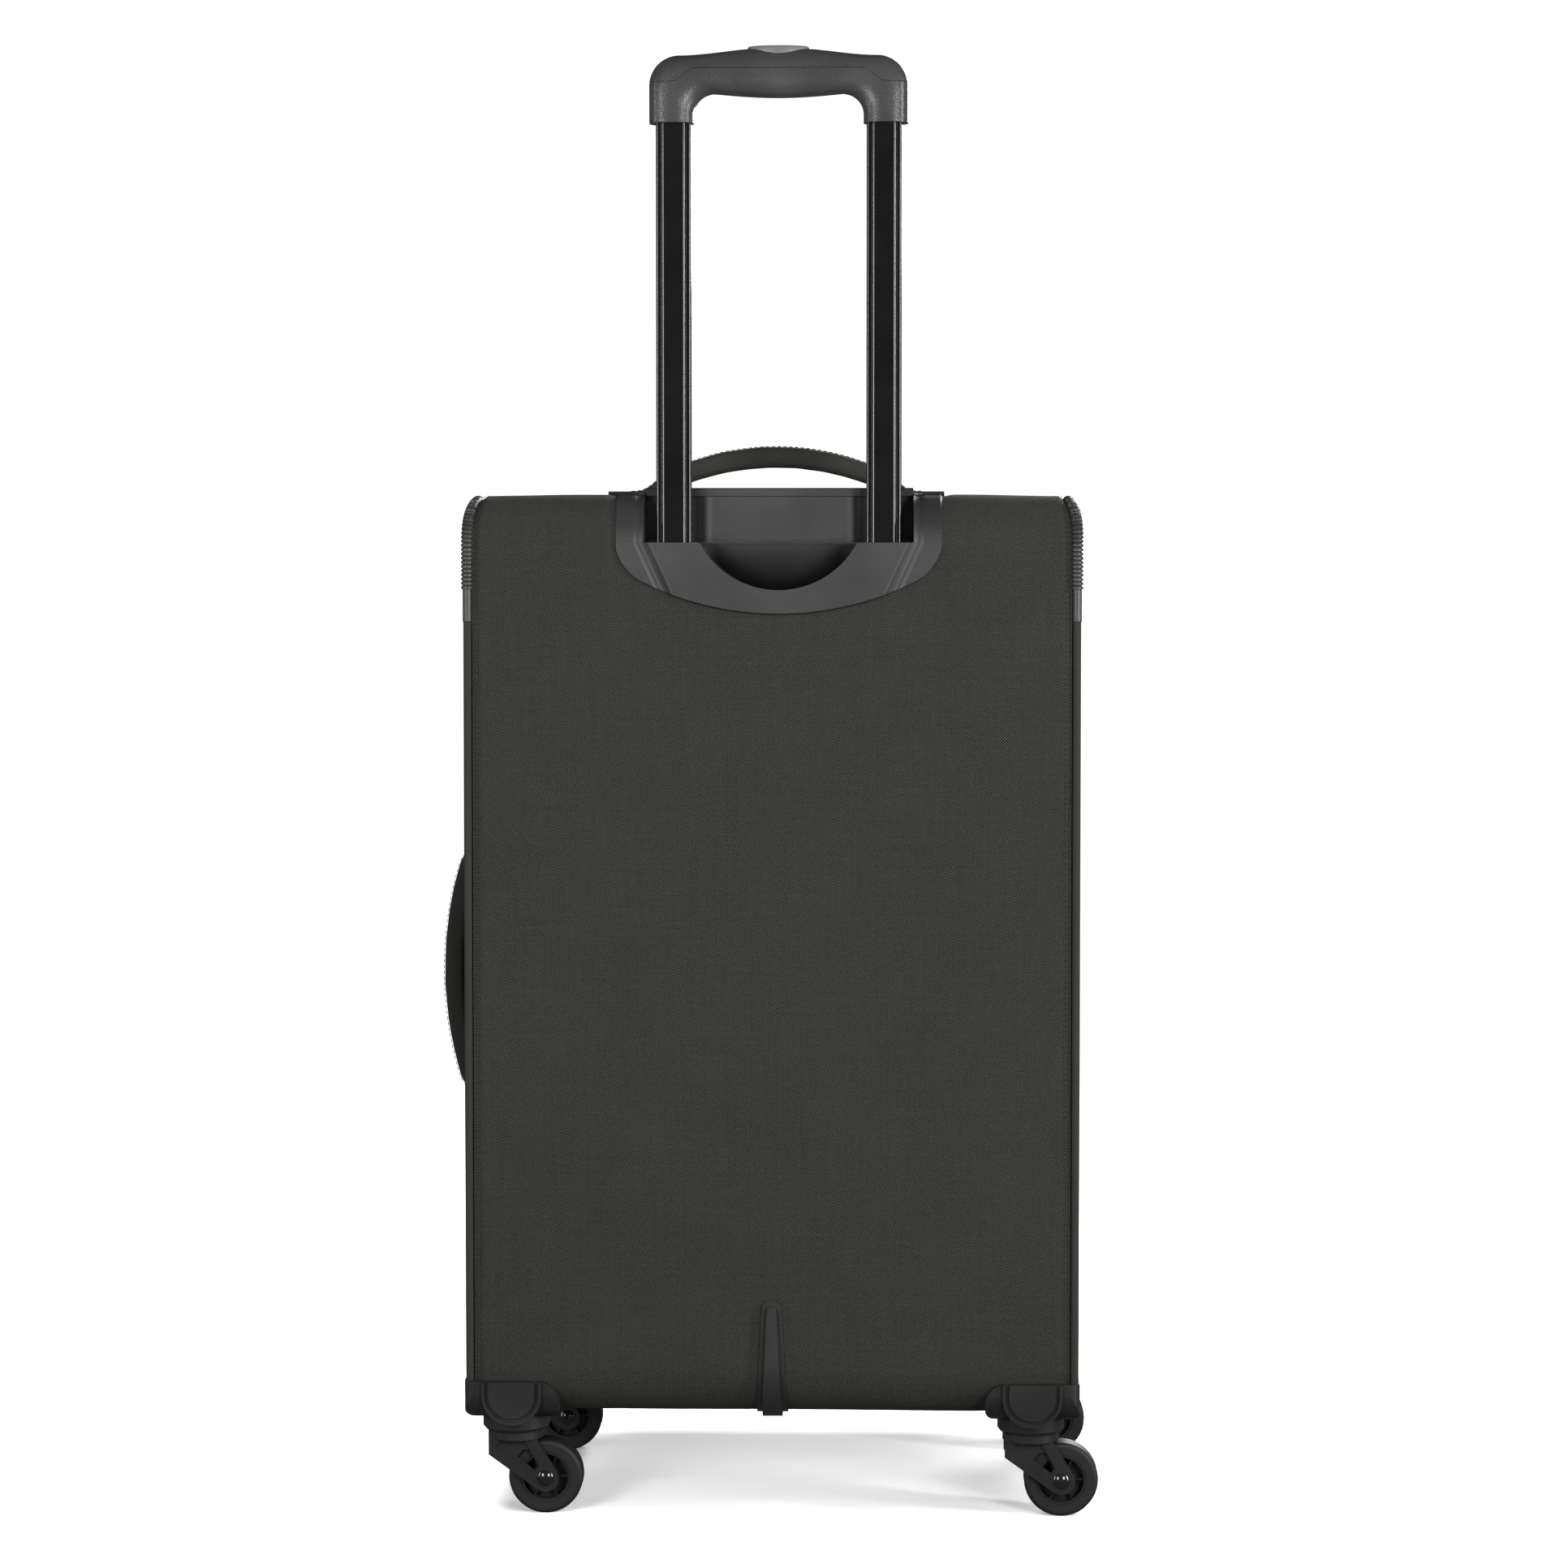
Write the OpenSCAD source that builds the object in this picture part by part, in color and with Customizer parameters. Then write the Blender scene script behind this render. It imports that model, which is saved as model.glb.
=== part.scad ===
// Softside upright suitcase on four spinner casters, trolley handle pulled out.
// +Z is up, +Y points to the pocket side, and the trolley handle is on the -Y side.
// The origin is on the floor, at the middle of the suitcase's outer box. Units: millimetres.

/* [Case] */
// Width of the case over its piping
case_w = 410; // [360:1:460]
// Height of the fabric body, without casters
case_h = 616; // [560:1:680]
// Depth of the fabric body, without pockets
case_d = 241; // [220:1:270]
// Height of the body's underside above the floor
ground_gap = 71; // [71:1:75]
// Radius of the body's rear top and bottom edges
rear_r = 35; // [25:1:45]
// Radius of the body's front top and bottom edges
front_r = 20; // [15:1:30]
// Thickness of the foam-backed fabric panels
panel_t = 4; // [3:0.5:5]
// Diameter of the sewn edge piping
piping_d = 5.4; // [4:0.2:6]

/* [Trolley handle] */
// Travel of the trolley handle
trolley_travel = 277; // [200:1:300]
// Distance between the two tubes' centres
tube_pitch = 139.6; // [130:0.2:146]
// How far the trolley stands to the right of the case's middle
trolley_shift = 4.5; // [0:0.5:8]
// Width of a sliding tube
tube_w = 23.4; // [20:0.2:24]
// Depth of a sliding tube
tube_d = 14; // [12:0.5:15]
// Width of the hand grip
grip_w = 171.8; // [165:0.2:176]
// Travel of the release button
button_travel = 4; // [3:0.5:5]

/* [Casters] */
// Wheel diameter
wheel_d = 50; // [46:1:50]
// Tyre width
tyre_w = 18; // [14:1:20]
// Distance from the swivel axis to the axle
caster_trail = 20.5; // [16:0.5:24]
// Distance of a swivel axis in from the case's sides
caster_inset = 31; // [28:1:36]

/* [Lid and pockets] */
// Depth of the lower pocket
lower_pocket_d = 28; // [20:1:35]
// Depth of the upper pocket
upper_pocket_d = 22; // [15:1:30]
// Corner radius of the lid opening
lid_r = 55; // [45:1:70]

/* [Carry handles] */
// Radius of the top handle's outer arc
top_handle_r = 178; // [160:1:200]
// Radius of the side handle's outer arc
side_handle_r = 260; // [220:1:300]
// Thickness of a carry handle
handle_t = 15; // [10:1:18]
// Rise of the top carry handle
top_rise = 35; // [30:1:40]
// Rise of the side carry handle
side_rise = 28; // [26:1:36]

/* [Hidden] */
$fn = 64;

FABRIC = [0.23, 0.235, 0.21];
LINING = [0.35, 0.36, 0.37];
PLASTIC = [0.2, 0.2, 0.2];
RUBBER = [0.15, 0.15, 0.15];
GLOSS = [0.06, 0.06, 0.06];
STEEL = [0.6, 0.6, 0.62];

// The case: its middle plane, back, front, underside and top
case_x = 6;
back_y = -135;
front_y = back_y + case_d;
low_z = ground_gap;
top_z = low_z + case_h;
piping_r = piping_d / 2;
side_x = case_w / 2 - 2;             // outer face of a side panel
inner_x = side_x - panel_t;          // inner face of a side panel
piping_x = case_w / 2 - piping_r;
pipe_reach = 0.9;                    // the piping stands this far outside the panels
pipe_back = back_y - pipe_reach + piping_r;
pipe_front = front_y + pipe_reach - piping_r;
pipe_top = top_z + pipe_reach - piping_r;
pipe_rear_r = rear_r + pipe_reach - piping_r;
pipe_front_r = front_r + pipe_reach - piping_r;
sleeve_r = piping_r + 0.3;
rib_r = piping_r + 0.55;
guard_low = top_z - 84;
back_board_y = back_y + 32.3;        // just in front of the bezel's box
back_board_t = 2;
gap = 0.3;                           // clearance between pieces that only touch
big = 1000;                          // reaches past everything

// Caster housings
housing_top = 95;
housing_skin = 3;
housing_reach = 64;                  // how far a housing wraps along the side
housing_in = 31.5;                   // from the swivel axis to a housing's inner edge
housing_low = low_z - housing_skin;
housing_edge_r = 20;                 // bend at a housing's lower edge
housing_upper_r = 14;                // round of a housing's upper inner and far corners
housing_lower_r = 9;                 // round of its lower corners, seen from behind
shield_r = 20;
shield_z = 86;                       // centre of the shield's round lower end
shield_out = 5;                      // the shield stands this far outside the case
groove_out = 3;                      // and the floor of its groove this far
web_drop = 1.4;                      // depth of the web between a fork's ribs
cup_r = 22.5;
cup_z = 57.5;
stem_r = 4;
stem_top = 67;
swivel_x = side_x + 2 - caster_inset;
cheek_t = 3;
cheek_gap = 1.2;                     // between the tyre and a fork cheek
fork_top = 57;
axle_r = 3;
cap_r = 5.5;

// Trolley system
tube_y = back_y + 14;
tube_x = tube_pitch / 2;
tube_step_w = tube_w - 6.2;          // width of a tube's full-depth middle
tube_step_d = tube_d - 5.4;          // depth of its thinner edges
inner_wall = 1.1;
outer_tube_w = tube_w + 5.2;
outer_tube_d = tube_d + 5.6;
outer_wall = 1.3;
bore_w = outer_tube_w - 2 * outer_wall;
bore_d = outer_tube_d - 2 * outer_wall;
bezel_floor_z = 656;
bezel_wall = 2.5;
recess_half_w = grip_w / 2 + 3.5;
recess_depth = 29;
flange_half_w = recess_half_w + 19.6; // the thin flange round the bezel
body_half_w = recess_half_w + 8.6;   // the raised body inside it
scoop_r = 59;
scoop_z = bezel_floor_z + 27.5;      // centre of the scoop's arc
scoop_depth = 18;
block_z = 575;                       // underside of the lock blocks
block_h = 30;
pin_z = block_z + 15;
pin_r = 2.5;
pin_travel = 3;
grip_low_z = bezel_floor_z + trolley_travel + 0.2;
grip_h = 50;
bar_low_z = grip_low_z + 18.5;
grip_top_z = grip_low_z + grip_h;
grip_d = 26;
leg_w = 30;
tube_top_z = grip_low_z + 23;
yoke_z = grip_low_z + 30;
yoke_h = 7;
spring_h = 8;

// Lid: its opening in the front border, and the zipper between them
open_half_w = 183;
open_low_z = low_z + 30;
open_top_z = top_z - 24;
zip_w = 11;                          // from the border's edge to the lid's edge
hinge_low_z = open_low_z + lid_r;
hinge_top_z = open_top_z - lid_r;
zip_line_z = open_top_z - zip_w / 2;
pocket_half_w = 157;
pocket_wall = 2.5;
lower_pocket_z = [low_z + 47, low_z + 349];
upper_pocket_z = [low_z + 365, low_z + 537];
slit_half_w = 135;
slit_h = 14;
slit_drop = 28;                      // from a pocket's top edge to the zipper's upper edge
slider_gap = 9;                      // of a main slider's middle from the case's middle
pocket_slider_x = -118;
tab_pivot = [0, 3.4, -1.2];          // of a pull tab's cross pin in its slider
tab_l = 35;
lock_eye_r = 2.25;

// Carry handles
handle_y = back_y + case_d / 2;
side_handle_z = 359;
handle_w = 26;
handle_end = 78;                     // where the padding ends, from the middle
pivot_lift = 6;                      // height of a handle's end pivots above the surface
pivot_r = 2.5;
pivot_end = 91;

// ---- Shapes that repeat ----

// A rounded rectangle about the origin
module rounded(w, h, r) {
    square([w - 2 * r, h], center = true);
    square([w, h - 2 * r], center = true);
    for (sx = [-1, 1], sy = [-1, 1])
        translate([sx * (w / 2 - r), sy * (h / 2 - r)]) circle(r);
}

// Extrudes a (y, z) shape along X, and an (x, z) shape along Y
module along_x(x0, x1) { translate([x0, 0, 0]) rotate([90, 0, 90]) linear_extrude(x1 - x0) children(); }
module along_y(y0, y1) { translate([0, y1, 0]) rotate([90, 0, 0]) linear_extrude(y1 - y0) children(); }
module at_case() { translate([case_x, 0, 0]) children(); }
module at_trolley() { translate([case_x + trolley_shift, 0, 0]) children(); }
module both_sides() { for (s = [0, 1]) mirror([s, 0, 0]) children(); }

// The case seen from its side, grown by off
module case_profile(off = 0) {
    for (z = [low_z + rear_r, top_z - rear_r]) translate([back_y + rear_r, z]) circle(rear_r + off);
    for (z = [low_z + front_r, top_z - front_r]) translate([front_y - front_r, z]) circle(front_r + off);
    polygon([
        [back_y - off, low_z + rear_r], [back_y + rear_r, low_z - off],
        [front_y - front_r, low_z - off], [front_y + off, low_z + front_r],
        [front_y + off, top_z - front_r], [front_y - front_r, top_z + off],
        [back_y + rear_r, top_z + off], [back_y - off, top_z - rear_r]]);
}

// A skin from off0 to off1 outside the case's profile, between two planes across the case
module case_skin(off0, off1, x0, x1) {
    along_x(x0, x1) difference() {
        case_profile(off1);
        case_profile(off0);
    }
}

// The lid opening, shrunk by inset
module opening_2d(inset = 0) {
    translate([0, (open_low_z + open_top_z) / 2])
        rounded(2 * (open_half_w - inset), open_top_z - open_low_z - 2 * inset, lid_r - inset);
}

// ---- Case panels ----

module wrap_panel() {
    color(FABRIC) at_case() difference() {
        case_skin(-panel_t, 0, -inner_x, inner_x);
        translate([-big / 2, front_y - front_r, 0]) cube(big);
        translate([trolley_shift, 0, 0]) {
            // opening for the trolley bezel's box
            translate([-recess_half_w - bezel_wall - gap, back_y - 10, bezel_floor_z - bezel_wall - gap])
                cube([2 * (recess_half_w + bezel_wall + gap), 10 + recess_depth + bezel_wall + gap, 100]);
            // opening behind the finger scoop
            along_y(back_y - 10, back_y + scoop_depth + 2) scoop_2d(bezel_wall + gap);
        }
    }
}

// A side panel, grooved along its edge for the piping and the corner guard
module side_panel() {
    color(FABRIC) difference() {
        along_x(inner_x + 0.05, side_x) case_profile();
        at_piping() {
            rear_run(piping_r + 0.05, low_z - 1);
            front_run(piping_r + 0.05, low_z - 1);
            rear_run(rib_r + 0.05, guard_low - 0.1);
        }
    }
}

module front_border() {
    color(FABRIC) at_case() difference() {
        case_skin(-panel_t, 0, -inner_x, inner_x);
        translate([-big / 2, front_y - front_r + 0.1 - big, 0]) cube(big);
        along_y(front_y - 30, front_y + 5) opening_2d();
    }
}

module lining() {
    cloth_t = 0.8;
    outer = panel_t + 0.4;
    inner = outer + cloth_t;
    wall_y = back_board_y + back_board_t + 0.7;
    color(LINING) at_case() difference() {
        intersection() {
            along_x(-inner_x + 0.4, inner_x - 0.4) case_profile(-outer);
            translate([-big / 2, wall_y, 0]) cube(big);
        }
        intersection() {
            along_x(-inner_x + 0.4 + cloth_t, inner_x - 0.4 - cloth_t) case_profile(-inner);
            translate([-big / 2, wall_y + cloth_t, 0]) cube(big);
        }
        along_y(front_y - 30, front_y + 5) opening_2d();
    }
}

module back_board() {
    color("dimgray") at_case() along_y(back_board_y, back_board_y + back_board_t)
        translate([0, (low_z + top_z) / 2]) rounded(380, case_h - 40, 20);
}

// Moves a shape drawn in the X-Z plane, with X along the case's depth, to the line of the right piping
module at_piping() { translate([piping_x, 0, 0]) rotate([0, 0, 90]) mirror([0, 1, 0]) children(); }

// The piping's line up the back to the middle of the rear bend's end, with a round section of radius r
module rear_run(r, low) {
    translate([pipe_back, 0, low]) cylinder(h = pipe_top - pipe_rear_r - low, r = r);
    translate([pipe_back + pipe_rear_r, 0, pipe_top - pipe_rear_r]) rotate([90, 0, 0]) rotate([0, 0, 90])
        rotate_extrude(angle = 90) translate([pipe_rear_r, 0]) circle(r);
}

// The rest of its line, over the top and down the front
module front_run(r, low) {
    start = pipe_back + pipe_rear_r;
    translate([start, 0, pipe_top]) rotate([0, 90, 0]) cylinder(h = pipe_front - pipe_front_r - start, r = r);
    translate([pipe_front - pipe_front_r, 0, pipe_top - pipe_front_r]) rotate([90, 0, 0])
        rotate_extrude(angle = 90) translate([pipe_front_r, 0]) circle(r);
    translate([pipe_front, 0, low]) cylinder(h = pipe_top - pipe_front_r - low, r = r);
}

module edge_piping() {
    color(FABRIC) at_case() both_sides() at_piping() {
        rear_run(piping_r, housing_top + gap);
        front_run(piping_r, housing_top + gap);
    }
}

// A rubber sleeve over the piping at a rear top corner, ribbed above its lower end
module corner_guard() {
    rib_pitch = 2.8;
    rib_h = 1.3;
    first_rib = guard_low + 23;
    bend_pitch = 12;
    difference() {
        union() {
            rear_run(sleeve_r, guard_low);
            for (z = [first_rib : rib_pitch : pipe_top - pipe_rear_r - rib_h])
                translate([pipe_back, 0, z]) cylinder(h = rib_h, r = rib_r);
            translate([pipe_back + pipe_rear_r, 0, pipe_top - pipe_rear_r])
                for (a = [bend_pitch / 2 : bend_pitch : 89]) rotate([0, a, 0])
                    translate([-pipe_rear_r, 0, 0]) cylinder(h = rib_h, r = rib_r);
        }
        rear_run(piping_r + 0.02, guard_low - 1);
    }
}

module corner_guards() {
    color(RUBBER) at_case() both_sides() at_piping() corner_guard();
}

// A tapered bumper sewn round the rear bottom edge, with a raised spine
module bottom_skid() {
    skid_top = low_z + 80;
    reach = 62;
    color(RUBBER) at_case() intersection() {
        translate([-50, back_y - 10, low_z - 10]) cube([100, 10 + reach, 200]);
        union() {
            intersection() {
                case_skin(0.1, 2.5, -20, 20);
                along_y(back_y - 20, back_y + 200) skid_2d(skid_top, 6.6, 10.4);
            }
            intersection() {
                case_skin(0.1, 5.5, -20, 20);
                along_y(back_y - 20, back_y + 200) skid_2d(skid_top - 4, 3, 6.6);
            }
        }
    }
}

// The skid seen from behind: it widens down to the case's underside, and runs on below it
module skid_2d(top, half_top, half_low) {
    polygon([
        [-half_top, top - half_top], [half_top, top - half_top],
        [half_low, low_z], [half_low, 0], [-half_low, 0], [-half_low, low_z]]);
    translate([0, top - half_top]) circle(half_top);
}

// ---- Trolley bezel ----

// Outline of the bezel on the back: straight sides, blended into one wide arc
module bezel_2d(half_w, blend_r) {
    arc_r = 204;
    arc_z = low_z + 537 + arc_r;
    blend_z = arc_z - sqrt(pow(arc_r - blend_r, 2) - pow(half_w - blend_r, 2));
    touch_x = (half_w - blend_r) * arc_r / (arc_r - blend_r);
    translate([-half_w, blend_z]) square([2 * half_w, 60]);
    for (s = [-1, 1]) translate([s * (half_w - blend_r), blend_z]) circle(blend_r);
    intersection() {
        translate([0, arc_z]) circle(arc_r);
        translate([-touch_x, blend_z - 60]) square([2 * touch_x, 60]);
    }
}

// Finger scoop below the grip's recess, grown by off
module scoop_2d(off = 0) {
    intersection() {
        translate([0, scoop_z]) circle(scoop_r + off);
        translate([-big / 2, bezel_floor_z - 100 + off]) square([big, 100]);
    }
}

module trolley_bezel() {
    box_y = recess_depth + bezel_wall;
    color(PLASTIC) at_trolley() difference() {
        union() {
            intersection() {
                case_skin(0.1, 2, -120, 120);
                along_y(back_y - 10, back_y + 44) bezel_2d(flange_half_w, 35);
            }
            intersection() {
                case_skin(0.1, 5, -120, 120);
                along_y(back_y - 10, back_y + 38) bezel_2d(body_half_w, 45);
            }
            // box that holds the grip when it is down, and the scoop's cup
            intersection() {
                along_x(-recess_half_w - bezel_wall, recess_half_w + bezel_wall) case_profile(1);
                translate([-100, back_y, bezel_floor_z - bezel_wall]) cube([200, box_y, 60]);
            }
            along_y(back_y, back_y + scoop_depth + bezel_wall) scoop_2d(bezel_wall);
        }
        translate([-recess_half_w, back_y - 20, bezel_floor_z])
            cube([2 * recess_half_w, 20 + recess_depth, 100]);
        along_y(back_y - 20, back_y + scoop_depth) scoop_2d();
        translate([0, 0, 600]) both_sides() translate([tube_x, tube_y, 0])
            linear_extrude(100) rounded(tube_w + 2 * gap, tube_d + 2 * gap, 3);
    }
}

// ---- Trolley tubes, lock and grip ----

// Stepped section of a sliding tube, shrunk by inset
module tube_2d(inset = 0) {
    rounded(tube_step_w - 2 * inset, tube_d - 2 * inset, 2.5 - min(inset, 1.2));
    rounded(tube_w - 2 * inset, tube_step_d - 2 * inset, 1.5 - min(inset, 0.9));
}

module outer_tubes() {
    foot_z = 103;
    color("gray") at_trolley() both_sides() difference() {
        translate([tube_x, tube_y, foot_z]) linear_extrude(bezel_floor_z - bezel_wall - gap - foot_z)
            difference() {
            rounded(outer_tube_w, outer_tube_d, 4);
            rounded(bore_w, bore_d, 3);
        }
        for (z = [pin_z, pin_z - trolley_travel])
            translate([tube_x, tube_y, z]) rotate([0, 90, 0]) cylinder(h = 30, r = pin_r + 0.5);
    }
}

module guide_bushes() {
    color("dimgray") at_trolley() both_sides()
        translate([tube_x, tube_y, bezel_floor_z - bezel_wall - 25]) linear_extrude(24.6) difference() {
            rounded(bore_w - 0.1, bore_d - 0.1, 3);
            tube_2d(-gap);
        }
}

module tube_foot_bracket() {
    color("dimgray") at_trolley() difference() {
        translate([-88, back_y + 4.8, 100]) cube([176, 26.6, 22]);
        both_sides() translate([tube_x, tube_y, 102.8]) linear_extrude(100)
            rounded(outer_tube_w + 0.2, outer_tube_d + 0.2, 4);
        // lightening pockets between the tubes
        for (x = [-32, 2]) translate([x, back_y, 103]) cube([30, 26, 100]);
    }
}

module inner_tubes() {
    color(GLOSS) at_trolley() both_sides() translate([tube_x, tube_y, block_z + block_h])
        linear_extrude(tube_top_z - block_z - block_h) difference() {
            tube_2d();
            tube_2d(inner_wall);
        }
}

module lock_blocks() {
    color("dimgray") at_trolley() both_sides() translate([tube_x, tube_y, 0]) difference() {
        union() {
            translate([0, 0, block_z]) linear_extrude(block_h - 0.05)
                rounded(bore_w - 2 * gap, bore_d - 2 * gap, 3);
            translate([0, 0, block_z + block_h - 1]) linear_extrude(16) rounded(14, 10, 1.5);
        }
        translate([-pin_travel - 0.5, 0, pin_z]) rotate([0, 90, 0]) cylinder(h = 30, r = pin_r + 0.05);
        translate([0, 0, pin_z + pin_r - 0.6]) cylinder(h = 40, r = 2);
    }
}

module lock_pin() {
    tip = bore_w / 2 - gap - 0.2;
    color(STEEL) translate([tube_x, tube_y, pin_z]) rotate([0, 90, 0]) cylinder(h = tip, r = pin_r);
}

// The button's yoke in the grip, and the two long rods that reach the lock blocks
module push_rods() {
    color(STEEL) at_trolley() {
        translate([-tube_x - 3, tube_y - 3, yoke_z]) cube([2 * tube_x + 6, 6, yoke_h]);
        both_sides() translate([tube_x, tube_y, pin_z + 7]) cylinder(h = yoke_z - pin_z - 6, r = 1.5);
    }
}

module button_spring() {
    turns = 4;
    wire = 0.4;
    coil_r = 2.2;
    steps = 12 * turns;
    sides = 6;
    bottom = yoke_z - spring_h + wire + 0.1;
    rise = spring_h - 2 * wire - 0.2;
    points = [for (i = [0 : steps], k = [0 : sides - 1])
        let (a = 360 * turns * i / steps, b = 360 * k / sides, r = coil_r + wire * cos(b))
        [r * cos(a), r * sin(a), bottom + rise * i / steps + wire * sin(b)]];
    ends = [[for (k = [0 : sides - 1]) k], [for (k = [sides - 1 : -1 : 0]) steps * sides + k]];
    walls = [for (i = [0 : steps - 1], k = [0 : sides - 1])
        let (n = (k + 1) % sides) [i * sides + k, (i + 1) * sides + k, (i + 1) * sides + n, i * sides + n]];
    color(STEEL) at_trolley() translate([0, tube_y, 0]) polyhedron(points, concat(ends, walls));
}

// The grip seen from behind: a bar with rounded shoulders on two legs
module grip_2d() {
    half = grip_w / 2;
    shoulder_r = 17.5;
    shoulder_z = grip_top_z - 3.9 - shoulder_r;
    difference() {
        union() {
            for (s = [-1, 1]) translate([s * (half - shoulder_r), shoulder_z]) circle(shoulder_r);
            polygon([
                [-half, grip_low_z], [half, grip_low_z], [half, shoulder_z],
                [half - shoulder_r, grip_top_z - 3.9], [20, grip_top_z], [-20, grip_top_z],
                [-half + shoulder_r, grip_top_z - 3.9], [-half, shoulder_z]]);
        }
        translate([0, bar_low_z - 50]) rounded(2 * (half - leg_w), 100, 15);
    }
}

module grip_solid() {
    intersection() {
        along_y(tube_y - grip_d / 2, tube_y + grip_d / 2) grip_2d();
        translate([0, tube_y, grip_low_z]) linear_extrude(grip_h) rounded(grip_w, grip_d, 9);
        along_x(-grip_w / 2, grip_w / 2) translate([tube_y, grip_low_z + grip_h / 2 - 10])
            rounded(grip_d, grip_h + 20, 10);
    }
}

// Space above the grip's parting line, which steps down at the shoulders
module above_parting(lift = 0) {
    z0 = grip_low_z + 26.6 + lift;
    z1 = z0 + 8.7;
    along_y(tube_y - 50, tube_y + 50)
        polygon([[-100, z0], [-70, z0], [-55, z1], [55, z1], [70, z0], [100, z0], [100, z0 + 90],
            [-100, z0 + 90]]);
}

module grip_hollows() {
    // channel for the yoke and its travel
    translate([-tube_x - 5, tube_y - 5, yoke_z - button_travel - 1])
        cube([2 * tube_x + 10, 10, yoke_h + button_travel + 2]);
    translate([0, tube_y, yoke_z - spring_h]) cylinder(h = spring_h, r = 4);
    both_sides() translate([tube_x, tube_y, grip_low_z - 1]) {
        linear_extrude(tube_top_z - grip_low_z + 1.2) tube_2d(-0.1);
        cylinder(h = yoke_z - grip_low_z, r = 3);
    }
    translate([-20.4, tube_y - 7.9, yoke_z + yoke_h - button_travel - 0.5]) cube([40.8, 15.8, 40]);
}

module grip_upper() {
    color(PLASTIC) at_trolley() intersection() {
        difference() {
            grip_solid();
            grip_hollows();
        }
        above_parting(0.1);
    }
}

module grip_lower() {
    color(PLASTIC) at_trolley() difference() {
        grip_solid();
        grip_hollows();
        above_parting();
    }
}

module release_button() {
    base = yoke_z + yoke_h + 0.05;
    height = grip_top_z + 1.6 - base;
    color("gray") at_trolley() translate([0, tube_y, 0]) intersection() {
        translate([0, 0, base]) linear_extrude(height) rounded(40, 15, 5);
        // crowned top
        translate([0, 0, base + height - 160]) rotate([90, 0, 0]) cylinder(h = 40, r = 160, center = true);
    }
}

// ---- Carry handles ----

// An arched pad over the origin's z = 0 surface, with round pivot ends along X
module carry_handle(rise, arc_r) {
    pivot_start = handle_end - 12;
    intersection() {
        translate([0, 0, rise - arc_r]) rotate([90, 0, 0]) rotate([0, 0, 45])
            rotate_extrude(angle = 90) translate([arc_r - handle_t / 2, 0]) rounded(handle_t, handle_w, 6);
        translate([0, 0, pivot_lift - pivot_r]) linear_extrude(100) polygon([
            [-50, -15], [50, -15], [handle_end, -6], [handle_end, 6],
            [50, 15], [-50, 15], [-handle_end, 6], [-handle_end, -6]]);
    }
    for (s = [-1, 1]) translate([s * (pivot_end + pivot_start) / 2, 0, pivot_lift])
        rotate([0, 90, 0]) cylinder(h = pivot_end - pivot_start, r = pivot_r, center = true);
}

// A low block that holds each end of a handle in a socket
module anchor() {
    translate([handle_end + 2, 0, 0]) difference() {
        rotate([90, 0, 0]) linear_extrude(24, center = true)
            polygon([[0, 0.05], [0, 10], [11, 10], [24, 3], [30, 1.5], [30, 0.05]]);
        translate([-1, 0, pivot_lift]) rotate([0, 90, 0])
            cylinder(h = pivot_end - handle_end, r = pivot_r + 0.08);
    }
}

module on_top() { at_trolley() translate([0, handle_y, top_z]) children(); }
module on_side() { translate([case_x - side_x, handle_y, side_handle_z]) rotate([0, -90, 0]) children(); }

module handle_anchors() {
    color(FABRIC) {
        on_top() both_sides() anchor();
        on_side() both_sides() anchor();
    }
}

module top_handle() { color(FABRIC) on_top() carry_handle(top_rise, top_handle_r); }
module side_handle() { color(FABRIC) on_side() carry_handle(side_rise, side_handle_r); }

// ---- Casters ----

// A corner cap under the case, with the cup that takes the caster's stem.
// end is -1 at the rear, 1 at the front
module housing(end) {
    middle_y = end < 0 ? back_y + caster_inset : front_y - caster_inset;
    edge_y = end < 0 ? back_y : front_y;
    outer_x = side_x + housing_skin;
    wide = outer_x - swivel_x + housing_in;
    color(PLASTIC) difference() {
        union() {
            // skirt round the case's lower corner
            intersection() {
                along_y(edge_y - big, edge_y + big) intersection() {
                    translate([swivel_x - housing_in + 100, housing_top - 100])
                        rounded(200, 200, housing_upper_r);
                    translate([outer_x - wide / 2, housing_low + 100]) rounded(wide, 200, housing_lower_r);
                }
                along_x(0, big) intersection() {
                    translate([edge_y + end * (housing_skin - 100), housing_low + 100])
                        rounded(200, 200, housing_edge_r);
                    translate([edge_y - end * (housing_reach - 100), housing_top - 100])
                        rounded(200, 200, housing_upper_r);
                }
                linear_extrude(big) translate([outer_x - 100, edge_y + end * (housing_skin - 100)])
                    rounded(200, 200, 7);
            }
            // cup round the swivel
            translate([swivel_x, middle_y, 0]) {
                translate([0, 0, cup_z + 2]) cylinder(h = housing_top - cup_z - 2, r = cup_r);
                translate([0, 0, cup_z]) cylinder(h = 2, r1 = cup_r - 1.5, r2 = cup_r);
            }
            // shield on the outer face of the cup
            along_y(min(edge_y + end * shield_out, middle_y), max(edge_y + end * shield_out, middle_y))
                shield_2d(shield_r);
        }
        along_x(-1, side_x + 0.1) case_profile(0.1);
        // U-shaped groove round the pad
        along_y(min(edge_y + end * groove_out, edge_y + end * 9), max(edge_y + end * groove_out,
            edge_y + end * 9))
            difference() {
                shield_2d(shield_r - 2);
                shield_2d(shield_r - 4.5);
            }
        translate([swivel_x, middle_y, cup_z - 1]) cylinder(h = stem_top - cup_z + 1.5, r = stem_r + 0.05);
    }
}

module shield_2d(r) {
    intersection() {
        union() {
            translate([swivel_x, shield_z]) circle(r);
            translate([swivel_x - r, shield_z]) square([2 * r, housing_top - shield_z]);
        }
        translate([swivel_x - r, 0]) square([2 * r, housing_top]);
    }
}

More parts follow.
